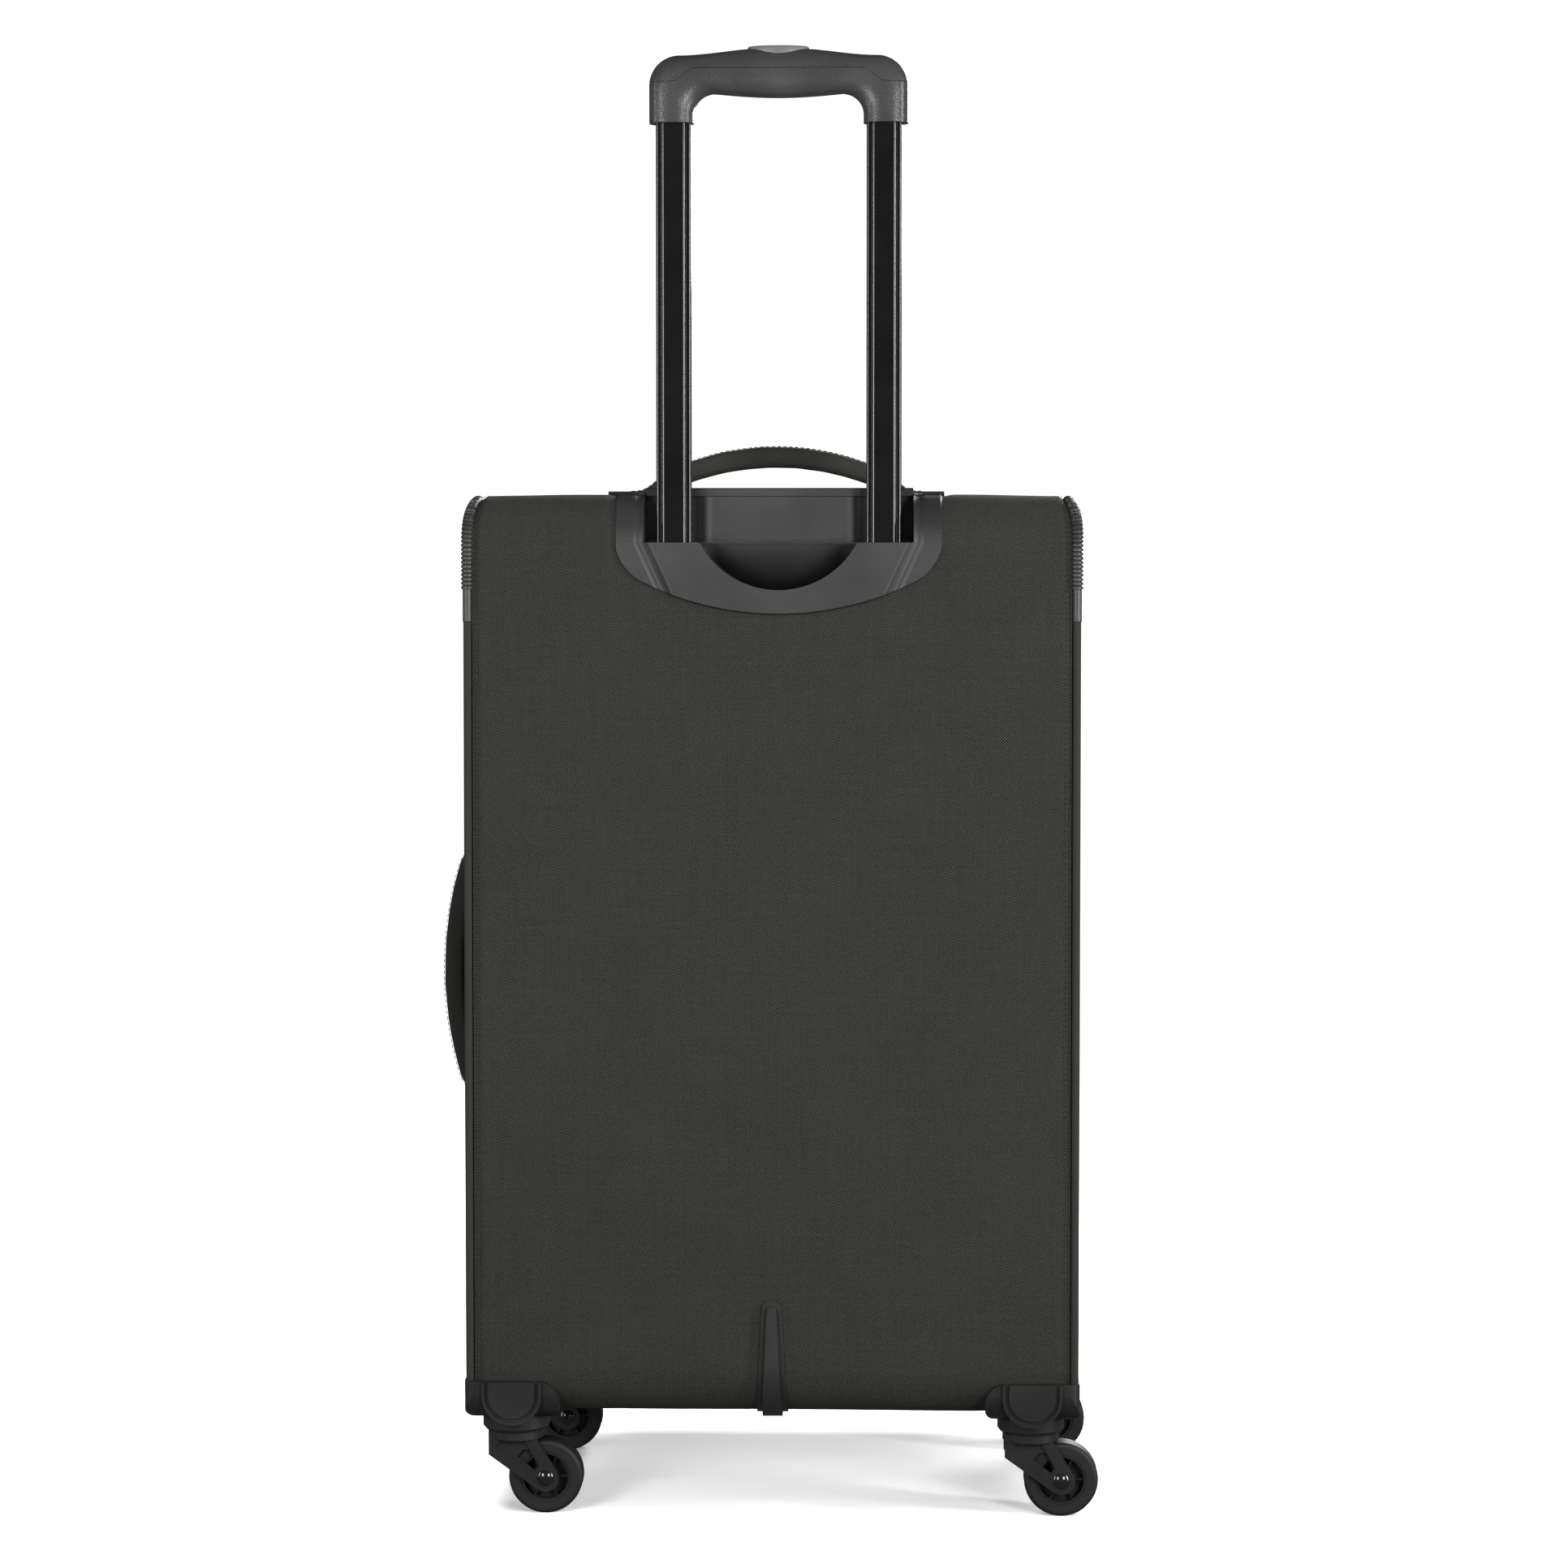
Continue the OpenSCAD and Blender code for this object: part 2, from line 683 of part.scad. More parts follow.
// Moves a part that is drawn at the rear right caster's swivel axis to one of the four
module at_swivel(side, end) {
    translate([case_x + side * swivel_x, end < 0 ? back_y + caster_inset : front_y - caster_inset, 0])
        children();
}

module fork_2d() {
    axle = [caster_trail, wheel_d / 2];
    end_r = 9.2;
    polygon([
        [-17.7, fork_top], [11, fork_top], axle + end_r * [cos(28), sin(28)],
        axle + end_r * [cos(236), sin(236)], [-17.7, 41]]);
    translate(axle) circle(end_r);
}

// The web between the fork's ribs, and the window through it
module fork_web_2d() {
    polygon([[-12.8, 46], [-8, 52.5], [5.5, 52.5], [17, 33.5], [13.5, 28.8]]);
}

module fork_window_2d() {
    polygon([[1.5, 39.2], [5.2, 43.8], [9.6, 44.2], [15.6, 33.2], [13.2, 30.4]]);
}

module fork() {
    half = tyre_w / 2 + cheek_gap;
    color(PLASTIC) difference() {
        union() {
            for (s = [-1, 1])
                along_y(s * (half + cheek_t / 2) - cheek_t / 2, s * (half + cheek_t / 2) + cheek_t / 2)
                fork_2d();
            // crown under the cup
            translate([0, 0, wheel_d + 1.5]) cylinder(h = fork_top - wheel_d - 1.5, r = 19);
            translate([0, 0, fork_top - 1]) cylinder(h = stem_top - fork_top + 1, r = stem_r);
        }
        for (s = [-1, 1]) along_y(s * (half + cheek_t) - web_drop, s * (half + cheek_t) + web_drop)
            fork_web_2d();
        along_y(-30, 30) fork_window_2d();
        translate([caster_trail, 0, wheel_d / 2]) rotate([90, 0, 0])
            cylinder(h = 60, r = axle_r, center = true);
    }
}

module at_axle() { translate([caster_trail, 0, wheel_d / 2]) rotate([-90, 0, 0]) children(); }

// The axle, with a domed cap at each end
module axle() {
    outer = tyre_w / 2 + cheek_gap + cheek_t;
    cap_h = 2.4;
    dome_r = 8;
    color(STEEL) at_axle() {
        for (s = [0, 1]) mirror([0, 0, s]) intersection() {
            translate([0, 0, outer + 0.05]) cylinder(h = cap_h, r = cap_r);
            translate([0, 0, outer + 0.05 + cap_h - dome_r]) sphere(dome_r);
        }
        cylinder(h = 2 * outer + 1, r = axle_r - 0.02, center = true);
    }
}

module hub() {
    half = tyre_w / 2;
    rim = wheel_d / 2 - 8;
    color(PLASTIC) at_axle() {
        rotate_extrude() {
            translate([axle_r + 0.05, -half + 0.5]) square([3, tyre_w - 1]);
            translate([axle_r + 2, -1]) square([rim - axle_r - 3, 2]);
            translate([rim - 1.8, -half + 0.6]) square([1.75, tyre_w - 1.2]);
        }
        for (a = [0 : 60 : 300]) rotate([0, 0, a]) translate([axle_r + 2, -0.6, -half + 3])
            cube([rim - axle_r - 3, 1.2, tyre_w - 6]);
    }
}

module tyre() {
    half = tyre_w / 2;
    rim = wheel_d / 2 - 8;
    shoulder = 3;
    color(RUBBER) at_axle() rotate_extrude() {
        translate([rim, -half]) square([8 - shoulder, tyre_w]);
        translate([rim, -half + shoulder]) square([8, tyre_w - 2 * shoulder]);
        for (s = [-1, 1]) translate([wheel_d / 2 - shoulder, s * (half - shoulder)]) circle(shoulder);
    }
}

// ---- Lid, pockets and zippers ----

module lid_2d() {
    opening_2d(zip_w);
    translate([150, hinge_low_z + 0.5])
        square([open_half_w - 1.5 - 150, hinge_top_z - hinge_low_z - 1]);
}

module lid_panel() {
    color(FABRIC) at_case() along_y(front_y - panel_t, front_y) lid_2d();
}

module lid_lining() {
    color(LINING) at_case() along_y(front_y - panel_t - 1.2, front_y - panel_t - 0.2) opening_2d(zip_w + 4);
}

// Half of the main zipper between two insets of the opening, with its row of teeth at one edge
module zipper_half(outer, inner, teeth_outer, teeth_inner) {
    difference() {
        union() {
            along_y(front_y - 2.6, front_y - 1.6) difference() {
                opening_2d(outer);
                opening_2d(inner);
            }
            along_y(front_y - 2.6, front_y - 0.2) difference() {
                opening_2d(teeth_outer);
                opening_2d(teeth_inner);
            }
        }
        // the lid's hinge side has no zipper
        translate([150, front_y - 10, hinge_low_z]) cube([100, 20, hinge_top_z - hinge_low_z]);
    }
}

module case_zipper() {
    mid = zip_w / 2;
    color("dimgray") at_case() zipper_half(0.05, mid - 0.15, mid - 2.8, mid - 0.15);
}

module lid_zipper() {
    mid = zip_w / 2;
    color("dimgray") at_case() zipper_half(mid + 0.15, zip_w - 0.05, mid + 0.15, mid + 2.8);
}

// A pocket's fabric shell: a front wall and its gusset, open towards the lid
module pocket(z, depth) {
    middle = (z[0] + z[1]) / 2;
    high = z[1] - z[0];
    color(FABRIC) at_case() difference() {
        along_y(front_y + 0.05, front_y + depth) translate([0, middle]) rounded(2 * pocket_half_w, high, 30);
        along_y(front_y - 1, front_y + depth - pocket_wall) translate([0, middle])
            rounded(2 * (pocket_half_w - pocket_wall), high - 2 * pocket_wall, 30 - pocket_wall);
        along_y(front_y, front_y + depth + 1) translate([0, z[1] - slit_drop - slit_h / 2])
            square([2 * slit_half_w, slit_h], center = true);
    }
}

module pocket_zipper(z, depth) {
    y = front_y + depth;
    translate([0, 0, z[1] - slit_drop - slit_h / 2]) {
        along_y(y - 2, y - 1) square([2 * slit_half_w - 0.2, slit_h - 0.2], center = true);
        along_y(y - 2, y + 0.4) square([2 * slit_half_w - 0.2, 5.6], center = true);
    }
}

module pocket_zippers() {
    color("dimgray") at_case() {
        pocket_zipper(lower_pocket_z, lower_pocket_d);
        pocket_zipper(upper_pocket_z, upper_pocket_d);
    }
}

// A zipper slider over the origin, facing +Y, that runs along X
module slider() {
    color(STEEL) {
        along_y(0, 1.7) rounded(16, 10, 3);
        along_x(-1.5, 1.5) difference() {
            translate([3.5, 0]) rounded(6, 11, 2);
            translate([3.4, 0]) square([3.2, 7.8], center = true);
        }
    }
}

// Its pull tab, hanging from a cross pin in the slider's bridge, with a padlock hole
module puller() {
    color(STEEL) translate(tab_pivot) difference() {
        union() {
            rotate([0, 90, 0]) cylinder(h = 7.6, r = 1, center = true);
            for (s = [-1, 1]) translate([s * 3 - 0.8, -0.9, -11]) cube([1.6, 1.8, 11]);
            along_y(-0.9, 0.9) translate([0, -(tab_l + 9.5) / 2]) rounded(9, tab_l - 9.5, 3);
        }
        translate([0, 0, -tab_l + 4.5]) rotate([90, 0, 0]) cylinder(h = 10, r = lock_eye_r, center = true);
    }
}

module at_main(side) { translate([case_x + side * slider_gap, front_y + 0.15, zip_line_z]) children(); }
module at_pocket(z, depth) {
    translate([case_x + pocket_slider_x, front_y + depth + 0.75, z[1] - slit_drop - slit_h / 2]) children();
}

// ---- Assembly ----

wrap_panel();
at_case() mirror([1, 0, 0]) side_panel();  // left_side_panel
at_case() side_panel();  // right_side_panel
front_border();
lining();
back_board();
edge_piping();
corner_guards();
trolley_bezel();
bottom_skid();
outer_tubes();
tube_foot_bracket();
guide_bushes();
case_zipper();
handle_anchors();
inner_tubes();
grip_upper();
grip_lower();
lock_blocks();
release_button();
push_rods();
button_spring();
at_trolley() mirror([1, 0, 0]) lock_pin();  // left_lock_pin
at_trolley() lock_pin();  // right_lock_pin
top_handle();
side_handle();
lid_panel();
lid_zipper();
pocket(lower_pocket_z, lower_pocket_d);  // lower_pocket
pocket(upper_pocket_z, upper_pocket_d);  // upper_pocket
pocket_zippers();
lid_lining();
at_main(-1) slider();  // left_main_slider
at_main(1) slider();  // right_main_slider
at_main(-1) puller();  // left_main_puller
at_main(1) puller();  // right_main_puller
at_pocket(upper_pocket_z, upper_pocket_d) slider();  // upper_pocket_slider
at_pocket(lower_pocket_z, lower_pocket_d) slider();  // lower_pocket_slider
at_pocket(upper_pocket_z, upper_pocket_d) puller();  // upper_pocket_puller
at_pocket(lower_pocket_z, lower_pocket_d) puller();  // lower_pocket_puller
for (side = [-1, 1], end = [-1, 1]) {
    corner = str(end < 0 ? "rear" : "front", side < 0 ? "_left" : "_right");
    at_case() mirror([side < 0 ? 1 : 0, 0, 0])
        housing(end);
    at_swivel(side, end) fork();
    at_swivel(side, end) axle();
    at_swivel(side, end) hub();
    at_swivel(side, end) tyre();
}
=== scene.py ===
"""The softside suitcase in a white studio: fabric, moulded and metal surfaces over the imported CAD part.

Lengths are in metres. The back of the case, with the trolley handle, faces -Y.
"""

import math

import bmesh
import bpy
import numpy as np
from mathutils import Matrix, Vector, noise


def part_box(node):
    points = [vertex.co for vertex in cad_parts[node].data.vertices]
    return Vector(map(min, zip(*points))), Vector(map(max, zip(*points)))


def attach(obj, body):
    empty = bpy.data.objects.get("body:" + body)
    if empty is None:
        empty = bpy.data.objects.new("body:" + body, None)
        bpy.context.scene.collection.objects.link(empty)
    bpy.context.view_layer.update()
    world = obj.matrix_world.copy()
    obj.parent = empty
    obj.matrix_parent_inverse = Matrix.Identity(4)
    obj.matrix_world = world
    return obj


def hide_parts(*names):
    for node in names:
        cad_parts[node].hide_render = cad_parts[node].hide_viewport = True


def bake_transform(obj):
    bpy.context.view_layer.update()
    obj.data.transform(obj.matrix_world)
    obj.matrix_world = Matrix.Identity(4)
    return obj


MM = 0.001

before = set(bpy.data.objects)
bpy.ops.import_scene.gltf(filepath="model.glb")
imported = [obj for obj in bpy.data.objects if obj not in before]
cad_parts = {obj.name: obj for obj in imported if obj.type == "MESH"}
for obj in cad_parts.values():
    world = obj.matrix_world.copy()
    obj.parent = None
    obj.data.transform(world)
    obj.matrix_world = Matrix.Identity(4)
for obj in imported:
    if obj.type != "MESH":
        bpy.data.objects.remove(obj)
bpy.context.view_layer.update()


def low(node):
    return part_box(node)[0]


def high(node):
    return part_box(node)[1]


def middle(node):
    lo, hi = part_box(node)
    return (lo + hi) / 2


# The case's outline and its main lines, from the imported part
LEFT, RIGHT = low("left_side_panel").x, high("right_side_panel").x
BACK, FRONT = low("left_side_panel").y, high("left_side_panel").y
LOW, TOP = low("left_side_panel").z, high("left_side_panel").z
MID_X = (LEFT + RIGHT) / 2
MID_Z = (LOW + TOP) / 2
WRAP_LEFT, WRAP_RIGHT = low("wrap_panel").x, high("wrap_panel").x
REAR_R = 35 * MM
FRONT_R = high("front_border").y - low("front_border").y
PIPE_R = 2.7 * MM
PIPE_OUT = BACK - low("edge_piping").y
PIPE_X = high("edge_piping").x - PIPE_R - MID_X
HOUSING_TOP = high("rear_left_housing").z
TROLLEY_X = middle("trolley_bezel").x
TUBE_X = TROLLEY_X - middle("left_lock_pin").x - 3 * MM
TUBE_Y = middle("inner_tubes").y
GRIP_LOW, GRIP_TOP = low("grip_lower").z, high("grip_upper").z


def smooth(t):
    """0 below 0, 1 above 1, and a smooth step between."""
    t = min(max(t, 0.0), 1.0)
    return t * t * (3 - 2 * t)


def mix(a, b, t):
    return a + (b - a) * t


def wobble(x, y, z, scale):
    """Smooth noise from -1 to 1 with waves about scale long."""
    return noise.noise(Vector((x, y, z)) / scale)


# ---- Meshes ----


def piece(name, verts, faces, material, body, weave=None, sharp=40):
    """A mesh that rides on a body. weave has one (u, v) in metres for each vertex, for the cloth materials."""
    mesh = bpy.data.meshes.new(name)
    mesh.from_pydata([tuple(v) for v in verts], [], faces)
    if weave is not None:
        threads = mesh.attributes.new("weave", "FLOAT_VECTOR", "POINT")
        threads.data.foreach_set("vector", np.array([(u, v, 0.0) for u, v in weave], np.float32).ravel())
    tidy = bmesh.new()
    tidy.from_mesh(mesh)
    bmesh.ops.remove_doubles(tidy, verts=tidy.verts, dist=1e-6)
    bmesh.ops.dissolve_degenerate(tidy, edges=tidy.edges, dist=1e-6)
    bmesh.ops.recalc_face_normals(tidy, faces=tidy.faces)
    tidy.to_mesh(mesh)
    tidy.free()
    mesh.shade_smooth()
    mesh.set_sharp_from_angle(angle=math.radians(sharp))
    mesh.materials.append(material)
    made = bpy.data.objects.new(name, mesh)
    bpy.context.scene.collection.objects.link(made)
    if body:
        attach(made, body)
    return made


def grid(name, rows, material, body, keep=None, closed=False, sharp=40):
    """A surface through rows of points, each as long as the first. keep(point) says which faces stay."""
    points = np.array([[tuple(p) for p in row] for row in rows])
    count, width = points.shape[:2]
    across = np.linalg.norm(np.diff(points, axis=1), axis=2)
    u = np.concatenate([np.zeros((count, 1)), np.cumsum(across, axis=1)], axis=1)
    u -= u[:, width // 2 : width // 2 + 1]
    along = np.linalg.norm(np.diff(points[:, width // 2], axis=0), axis=1)
    v = np.concatenate([[0.0], np.cumsum(along)])
    weave = [(u[i, j], v[i]) for i in range(count) for j in range(width)]
    faces = []
    for i in range(count - 1):
        for j in range(width if closed else width - 1):
            k = (j + 1) % width
            centre = (points[i, j] + points[i + 1, j] + points[i, k] + points[i + 1, k]) / 4
            if keep is None or keep(Vector(centre)):
                faces.append((i * width + j, i * width + k, (i + 1) * width + k, (i + 1) * width + j))
    return piece(name, points.reshape(-1, 3), faces, material, body, weave, sharp)


def sweep(name, path, section, material, body, closed=False, sharp=40):
    """A tube along path. section(i, share) gives its outline at point i as (side, up) pairs about the path."""
    rows = []
    count = len(path)
    for i, here in enumerate(path):
        before = path[i - 1] if closed or i else path[0]
        after = path[(i + 1) % count] if closed or i + 1 < count else path[-1]
        forward = (Vector(after["at"]) - Vector(before["at"])).normalized()
        side = forward.cross(here["up"]).normalized()
        up = side.cross(forward)
        rows.append([Vector(here["at"]) + side * a + up * b for a, b in section(i, i / max(count - 1, 1))])
    if closed:
        rows.append(rows[0])
    made = grid(name, [row + [row[0]] for row in rows], material, body, sharp=sharp)
    if not closed:
        cap_ends(made)
    return made


def cap_ends(made):
    shell = bmesh.new()
    shell.from_mesh(made.data)
    bmesh.ops.holes_fill(shell, edges=shell.edges, sides=200)
    bmesh.ops.recalc_face_normals(shell, faces=shell.faces)
    shell.to_mesh(made.data)
    shell.free()


def circle(radius, sides=14):
    turn = np.linspace(0, 2 * math.pi, sides, endpoint=False)
    return [(radius * math.cos(a), radius * math.sin(a)) for a in turn]


def block(width, height, power=0.6, sides=28):
    """A rounded rectangle: the smaller the power, the squarer."""
    def squared(value):
        return math.copysign(abs(value) ** power, value)

    return [(squared(c) * width / 2, squared(s) * height / 2) for c, s in circle(1, sides)]


def bend(y, z, radius, first, last, step=2 * MM):
    """Points (y, z) and outward directions on an arc, from angle first to last in degrees."""
    count = max(4, round(math.radians(abs(last - first)) * radius / step))
    angles = [math.radians(first + (last - first) * i / count) for i in range(count + 1)]
    return [(y + radius * math.cos(a), z + radius * math.sin(a), math.cos(a), math.sin(a)) for a in angles]


def filled(line, step):
    """The same line with points added on its straight stretches."""
    out = [line[0]]
    for a, b in zip(line, line[1:]):
        count = max(1, round(math.dist(a[:2], b[:2]) / step))
        out += [tuple(mix(p, q, i / count) for p, q in zip(a, b)) for i in range(1, count + 1)]
    return out


def rear_bends(off):
    bottom = bend(BACK + REAR_R, LOW + REAR_R, REAR_R + off, 270, 180)
    return bottom + bend(BACK + REAR_R, TOP - REAR_R, REAR_R + off, 180, 90)


def front_bends(off):
    top = bend(FRONT - FRONT_R, TOP - FRONT_R, FRONT_R + off, 90, 0)
    return top + bend(FRONT - FRONT_R, LOW + FRONT_R, FRONT_R + off, 0, -90)


def rounded_top(x, y, z):
    """A point of the case's fabric after its top side corners are pulled in and down, as stuffed cloth is."""
    rise = min(max((z - TOP + 27 * MM) / (27 * MM), 0.0), 0.96)
    inset = 6.5 * MM * (1 - math.sqrt(1 - rise**2))
    beside = smooth((abs(x - MID_X) - PIPE_X + 16 * MM) / (16 * MM))
    drop = 1.8 * MM * smooth((z - TOP + 17 * MM) / (17 * MM)) * smooth(beside * 1.6 - 0.6)
    return (x - math.copysign(inset * beside, x - MID_X), y, z - drop)


def spread(first, last, edge, fine, coarse):
    """Numbers from first to last, fine within edge of both ends and coarse between."""
    ends = max(2, round(edge / fine))
    centre = max(2, round((last - first - 2 * edge) / coarse))
    return np.concatenate([
        np.linspace(first, first + edge, ends, endpoint=False),
        np.linspace(first + edge, last - edge, centre, endpoint=False),
        np.linspace(last - edge, last, ends + 1)])


def joined(name, parts, material, body):
    """One piece from many small (verts, faces) parts."""
    verts, faces = [], []
    for part_verts, part_faces in parts:
        faces += [tuple(len(verts) + i for i in f) for f in part_faces]
        verts += part_verts
    return piece(name, verts, faces, material, body)


def capsule(at, along, up, length, width, height):
    """A small rounded bar at a point: a stitch or a zipper tooth."""
    side = along.cross(up).normalized()
    verts, faces = [], []
    for t, size in ((-0.5, 0.45), (-0.32, 1.0), (0.32, 1.0), (0.5, 0.45)):
        for a in range(6):
            c, s = math.cos(a * math.pi / 3), math.sin(a * math.pi / 3)
            verts.append(at + along * length * t + side * (c * size * width / 2) + up * (s * size * height / 2))
    for r in range(3):
        faces += [(r * 6 + a, r * 6 + (a + 1) % 6, r * 6 + 6 + (a + 1) % 6, r * 6 + 6 + a) for a in range(6)]
    return verts, faces + [tuple(range(6)), tuple(range(18, 24))]


def along_line(points, step):
    """(point, direction) pairs spaced step apart along a line of points."""
    out = []
    left = step / 2
    for a, b in zip(points, points[1:]):
        length = (b - a).length
        while length > 0 and left < length:
            out.append((a.lerp(b, left / length), (b - a) / length))
            left += step
        left -= length
    return out


def stitches(name, points, up, material, body, pitch=4 * MM):
    thread = [capsule(p, d, up, pitch * 0.72, 0.6 * MM, 0.5 * MM) for p, d in along_line(points, pitch)]
    return joined(name, thread, material, body)


# ---- Materials ----


class Shader:
    """A material's node tree, with short ways to add to it."""

    def __init__(self, name, **values):
        self.material = bpy.data.materials.new(name)
        self.material.use_nodes = True
        self.tree = self.material.node_tree
        self.surface = self.tree.nodes["Principled BSDF"]
        for socket, value in values.items():
            self.surface.inputs[socket.replace("_", " ")].default_value = value

    def node(self, kind, settings=None, **inputs):
        made = self.tree.nodes.new(kind)
        for key, value in (settings or {}).items():
            setattr(made, key, value)
        for key, value in inputs.items():
            self.put(value, made.inputs[int(key[1:]) if key[0] == "i" and key[1:].isdigit() else key])
        return made

    def put(self, value, socket):
        if isinstance(value, bpy.types.NodeSocket):
            self.tree.links.new(value, socket)
        else:
            socket.default_value = value

    def maths(self, operation, a, b=0.0):
        return self.node("ShaderNodeMath", {"operation": operation}, i0=a, i1=b).outputs[0]

    def noise(self, where, scale, detail=3.0):
        return self.node("ShaderNodeTexNoise", None, Vector=where, Scale=scale, Detail=detail).outputs["Fac"]

    def ramp(self, value, stops):
        made = self.node("ShaderNodeValToRGB", None, Fac=value)
        for element, (position, colour) in zip(made.color_ramp.elements, (stops[0], stops[-1])):
            element.position, element.color = position, (*colour, 1)
        for position, colour in stops[1:-1]:
            made.color_ramp.elements.new(position).color = (*colour, 1)
        return made.outputs[0]

    def bump(self, height, distance, strength=1.0, after=None):
        made = self.node("ShaderNodeBump", None, Strength=strength, Distance=distance, Height=height)
        if after is not None:
            self.tree.links.new(after, made.inputs["Normal"])
        return made.outputs[0]

    def place(self):
        return self.node("ShaderNodeTexCoord").outputs["Object"]


def shade(colour, factor):
    return tuple(c * factor for c in colour)


def cloth(name, colour, thread, depth, contrast=0.95, roughness=0.85, sheen=0.04):
    """Plain weave of yarns one thread wide, from the mesh's own weave lengths."""
    s = Shader(name, Roughness=roughness, Sheen_Weight=sheen, Sheen_Roughness=0.5, IOR=1.45)
    s.surface.inputs["Specular IOR Level"].default_value = 0.25
    lengths = s.node("ShaderNodeAttribute", {"attribute_name": "weave"}).outputs["Vector"]
    axes = s.node("ShaderNodeSeparateXYZ", None, Vector=lengths)
    waves = []
    for axis in "XY":
        turns = s.maths("MULTIPLY", axes.outputs[axis], math.pi / thread)
        waves.append(s.maths("SINE", turns))
    over = s.maths("MULTIPLY", waves[0], waves[1])
    height = s.maths("MULTIPLY_ADD", over, 0.5)
    height.node.inputs[2].default_value = 0.5
    yarn = s.maths("MULTIPLY", s.maths("SUBTRACT", s.noise(lengths, 900.0, 2.0), 0.5), 0.5)
    blotch = s.maths("MULTIPLY", s.maths("SUBTRACT", s.noise(lengths, 14.0, 4.0), 0.5), 0.12)
    for stretch in ((1.0, 0.04, 1.0), (0.04, 1.0, 1.0)):
        thread_way = s.node("ShaderNodeMapping", None, Vector=lengths, Scale=stretch).outputs[0]
        slub = s.maths("MULTIPLY", s.maths("SUBTRACT", s.noise(thread_way, 420.0, 2.0), 0.5), 0.11)
        blotch = s.maths("ADD", blotch, slub)
    level = s.maths("ADD", height, s.maths("ADD", yarn, blotch))
    tone = s.ramp(level, [(0.2, shade(colour, 1 - contrast)), (0.8, shade(colour, 1 + contrast))])
    s.put(tone, s.surface.inputs["Base Color"])
    folds = s.bump(s.noise(lengths, 40.0, 3.0), 0.6 * MM, 0.5)
    s.put(s.bump(height, depth, 0.9, folds), s.surface.inputs["Normal"])
    return s.material


def moulded(name, colour, roughness, grain=0.09 * MM, grain_scale=1900.0, painted_shade_heights=None):
    """Moulded plastic or rubber with a fine spark-eroded grain and paler, rubbed patches.

    The last argument is a pair of heights, low and high: the colour darkens from the high one down to the low
    one, as painted shade.
    """
    s = Shader(name, IOR=1.48)
    where = s.place()
    patches = s.noise(where, 22.0, 5.0)
    fine = s.noise(where, grain_scale, 2.0)
    tone = s.ramp(s.maths("ADD", s.maths("MULTIPLY", patches, 0.7), s.maths("MULTIPLY", fine, 0.3)),
                  [(0.3, shade(colour, 0.75)), (0.5, colour), (0.72, shade(colour, 1.35))])
    # Painted shade by height: the base colour is scaled down towards the lower of the two heights.
    if painted_shade_heights:
        height = s.node("ShaderNodeSeparateXYZ", None, Vector=where).outputs["Z"]
        bottom, top = painted_shade_heights
        light = s.node("ShaderNodeMapRange", None, i0=height, i1=bottom, i2=top, i3=0.12, i4=1.0).outputs[0]
        tone = s.node("ShaderNodeVectorMath", {"operation": "SCALE"}, i0=tone, Scale=light).outputs[0]
    s.put(tone, s.surface.inputs["Base Color"])
    rough = s.maths("MULTIPLY_ADD", patches, 0.18)
    rough.node.inputs[2].default_value = roughness - 0.09
    s.put(rough, s.surface.inputs["Roughness"])
    s.put(s.bump(fine, grain, 0.8), s.surface.inputs["Normal"])
    return s.material


def metal(name, colour, roughness, metallic=1.0, coat=0.0, along=(1.0, 1.0, 0.02)):
    """Drawn or plated metal: fine lines along one direction, and smudges."""
    s = Shader(name, Metallic=metallic, Coat_Weight=coat, Coat_Roughness=0.06, IOR=1.5)
    where = s.place()
    lines = s.noise(s.node("ShaderNodeMapping", None, Vector=where, Scale=along).outputs[0], 1500.0, 2.0)
    smudges = s.noise(where, 35.0, 4.0)
    tone = s.ramp(smudges, [(0.3, shade(colour, 0.85)), (0.7, shade(colour, 1.15))])
    s.put(tone, s.surface.inputs["Base Color"])
    rough = s.maths("ADD", s.maths("MULTIPLY", smudges, 0.12), s.maths("MULTIPLY", lines, 0.08))
    s.put(s.maths("ADD", rough, roughness - 0.1), s.surface.inputs["Roughness"])
    s.put(s.bump(lines, 0.02 * MM, 0.3), s.surface.inputs["Normal"])
    return s.material


def lacquer(name, colour, roughness):
    """Smooth glossy paint with faint finger marks."""
    s = Shader(name, Roughness=roughness, IOR=1.55)
    marks = s.noise(s.place(), 30.0, 4.0)
    s.put(s.ramp(marks, [(0.35, colour), (0.75, shade(colour, 2.0))]), s.surface.inputs["Base Color"])
    return s.material


OLIVE = (0.034, 0.0347, 0.0294)
SHELL = cloth("shell cloth", OLIVE, 0.95 * MM, 0.45 * MM)
TRIM = cloth("trim cloth", (0.036, 0.036, 0.031), 0.6 * MM, 0.15 * MM, contrast=0.3)
LINING = cloth("lining cloth", (0.11, 0.11, 0.115), 0.4 * MM, 0.05 * MM, 0.15, roughness=0.55, sheen=0.4)
TAPE = cloth("zipper tape", (0.02, 0.02, 0.02), 0.5 * MM, 0.1 * MM, contrast=0.3)
# A darker copy of the trim cloth for the side handle, which is seen edge-on: painted shade.
TRIM_PAINTED_SHADE = cloth("side handle cloth", (0.02, 0.02, 0.018), 0.6 * MM, 0.15 * MM, contrast=0.3)
THREAD = cloth("sewing thread", (0.03, 0.03, 0.027), 0.3 * MM, 0.05 * MM, contrast=0.2)
RUBBER = moulded("soft rubber", (0.04, 0.04, 0.038), 0.36)
SKID = moulded("skid rubber", (0.027, 0.027, 0.026), 0.42)
BEZEL = moulded("bezel plastic", (0.033, 0.033, 0.033), 0.42)
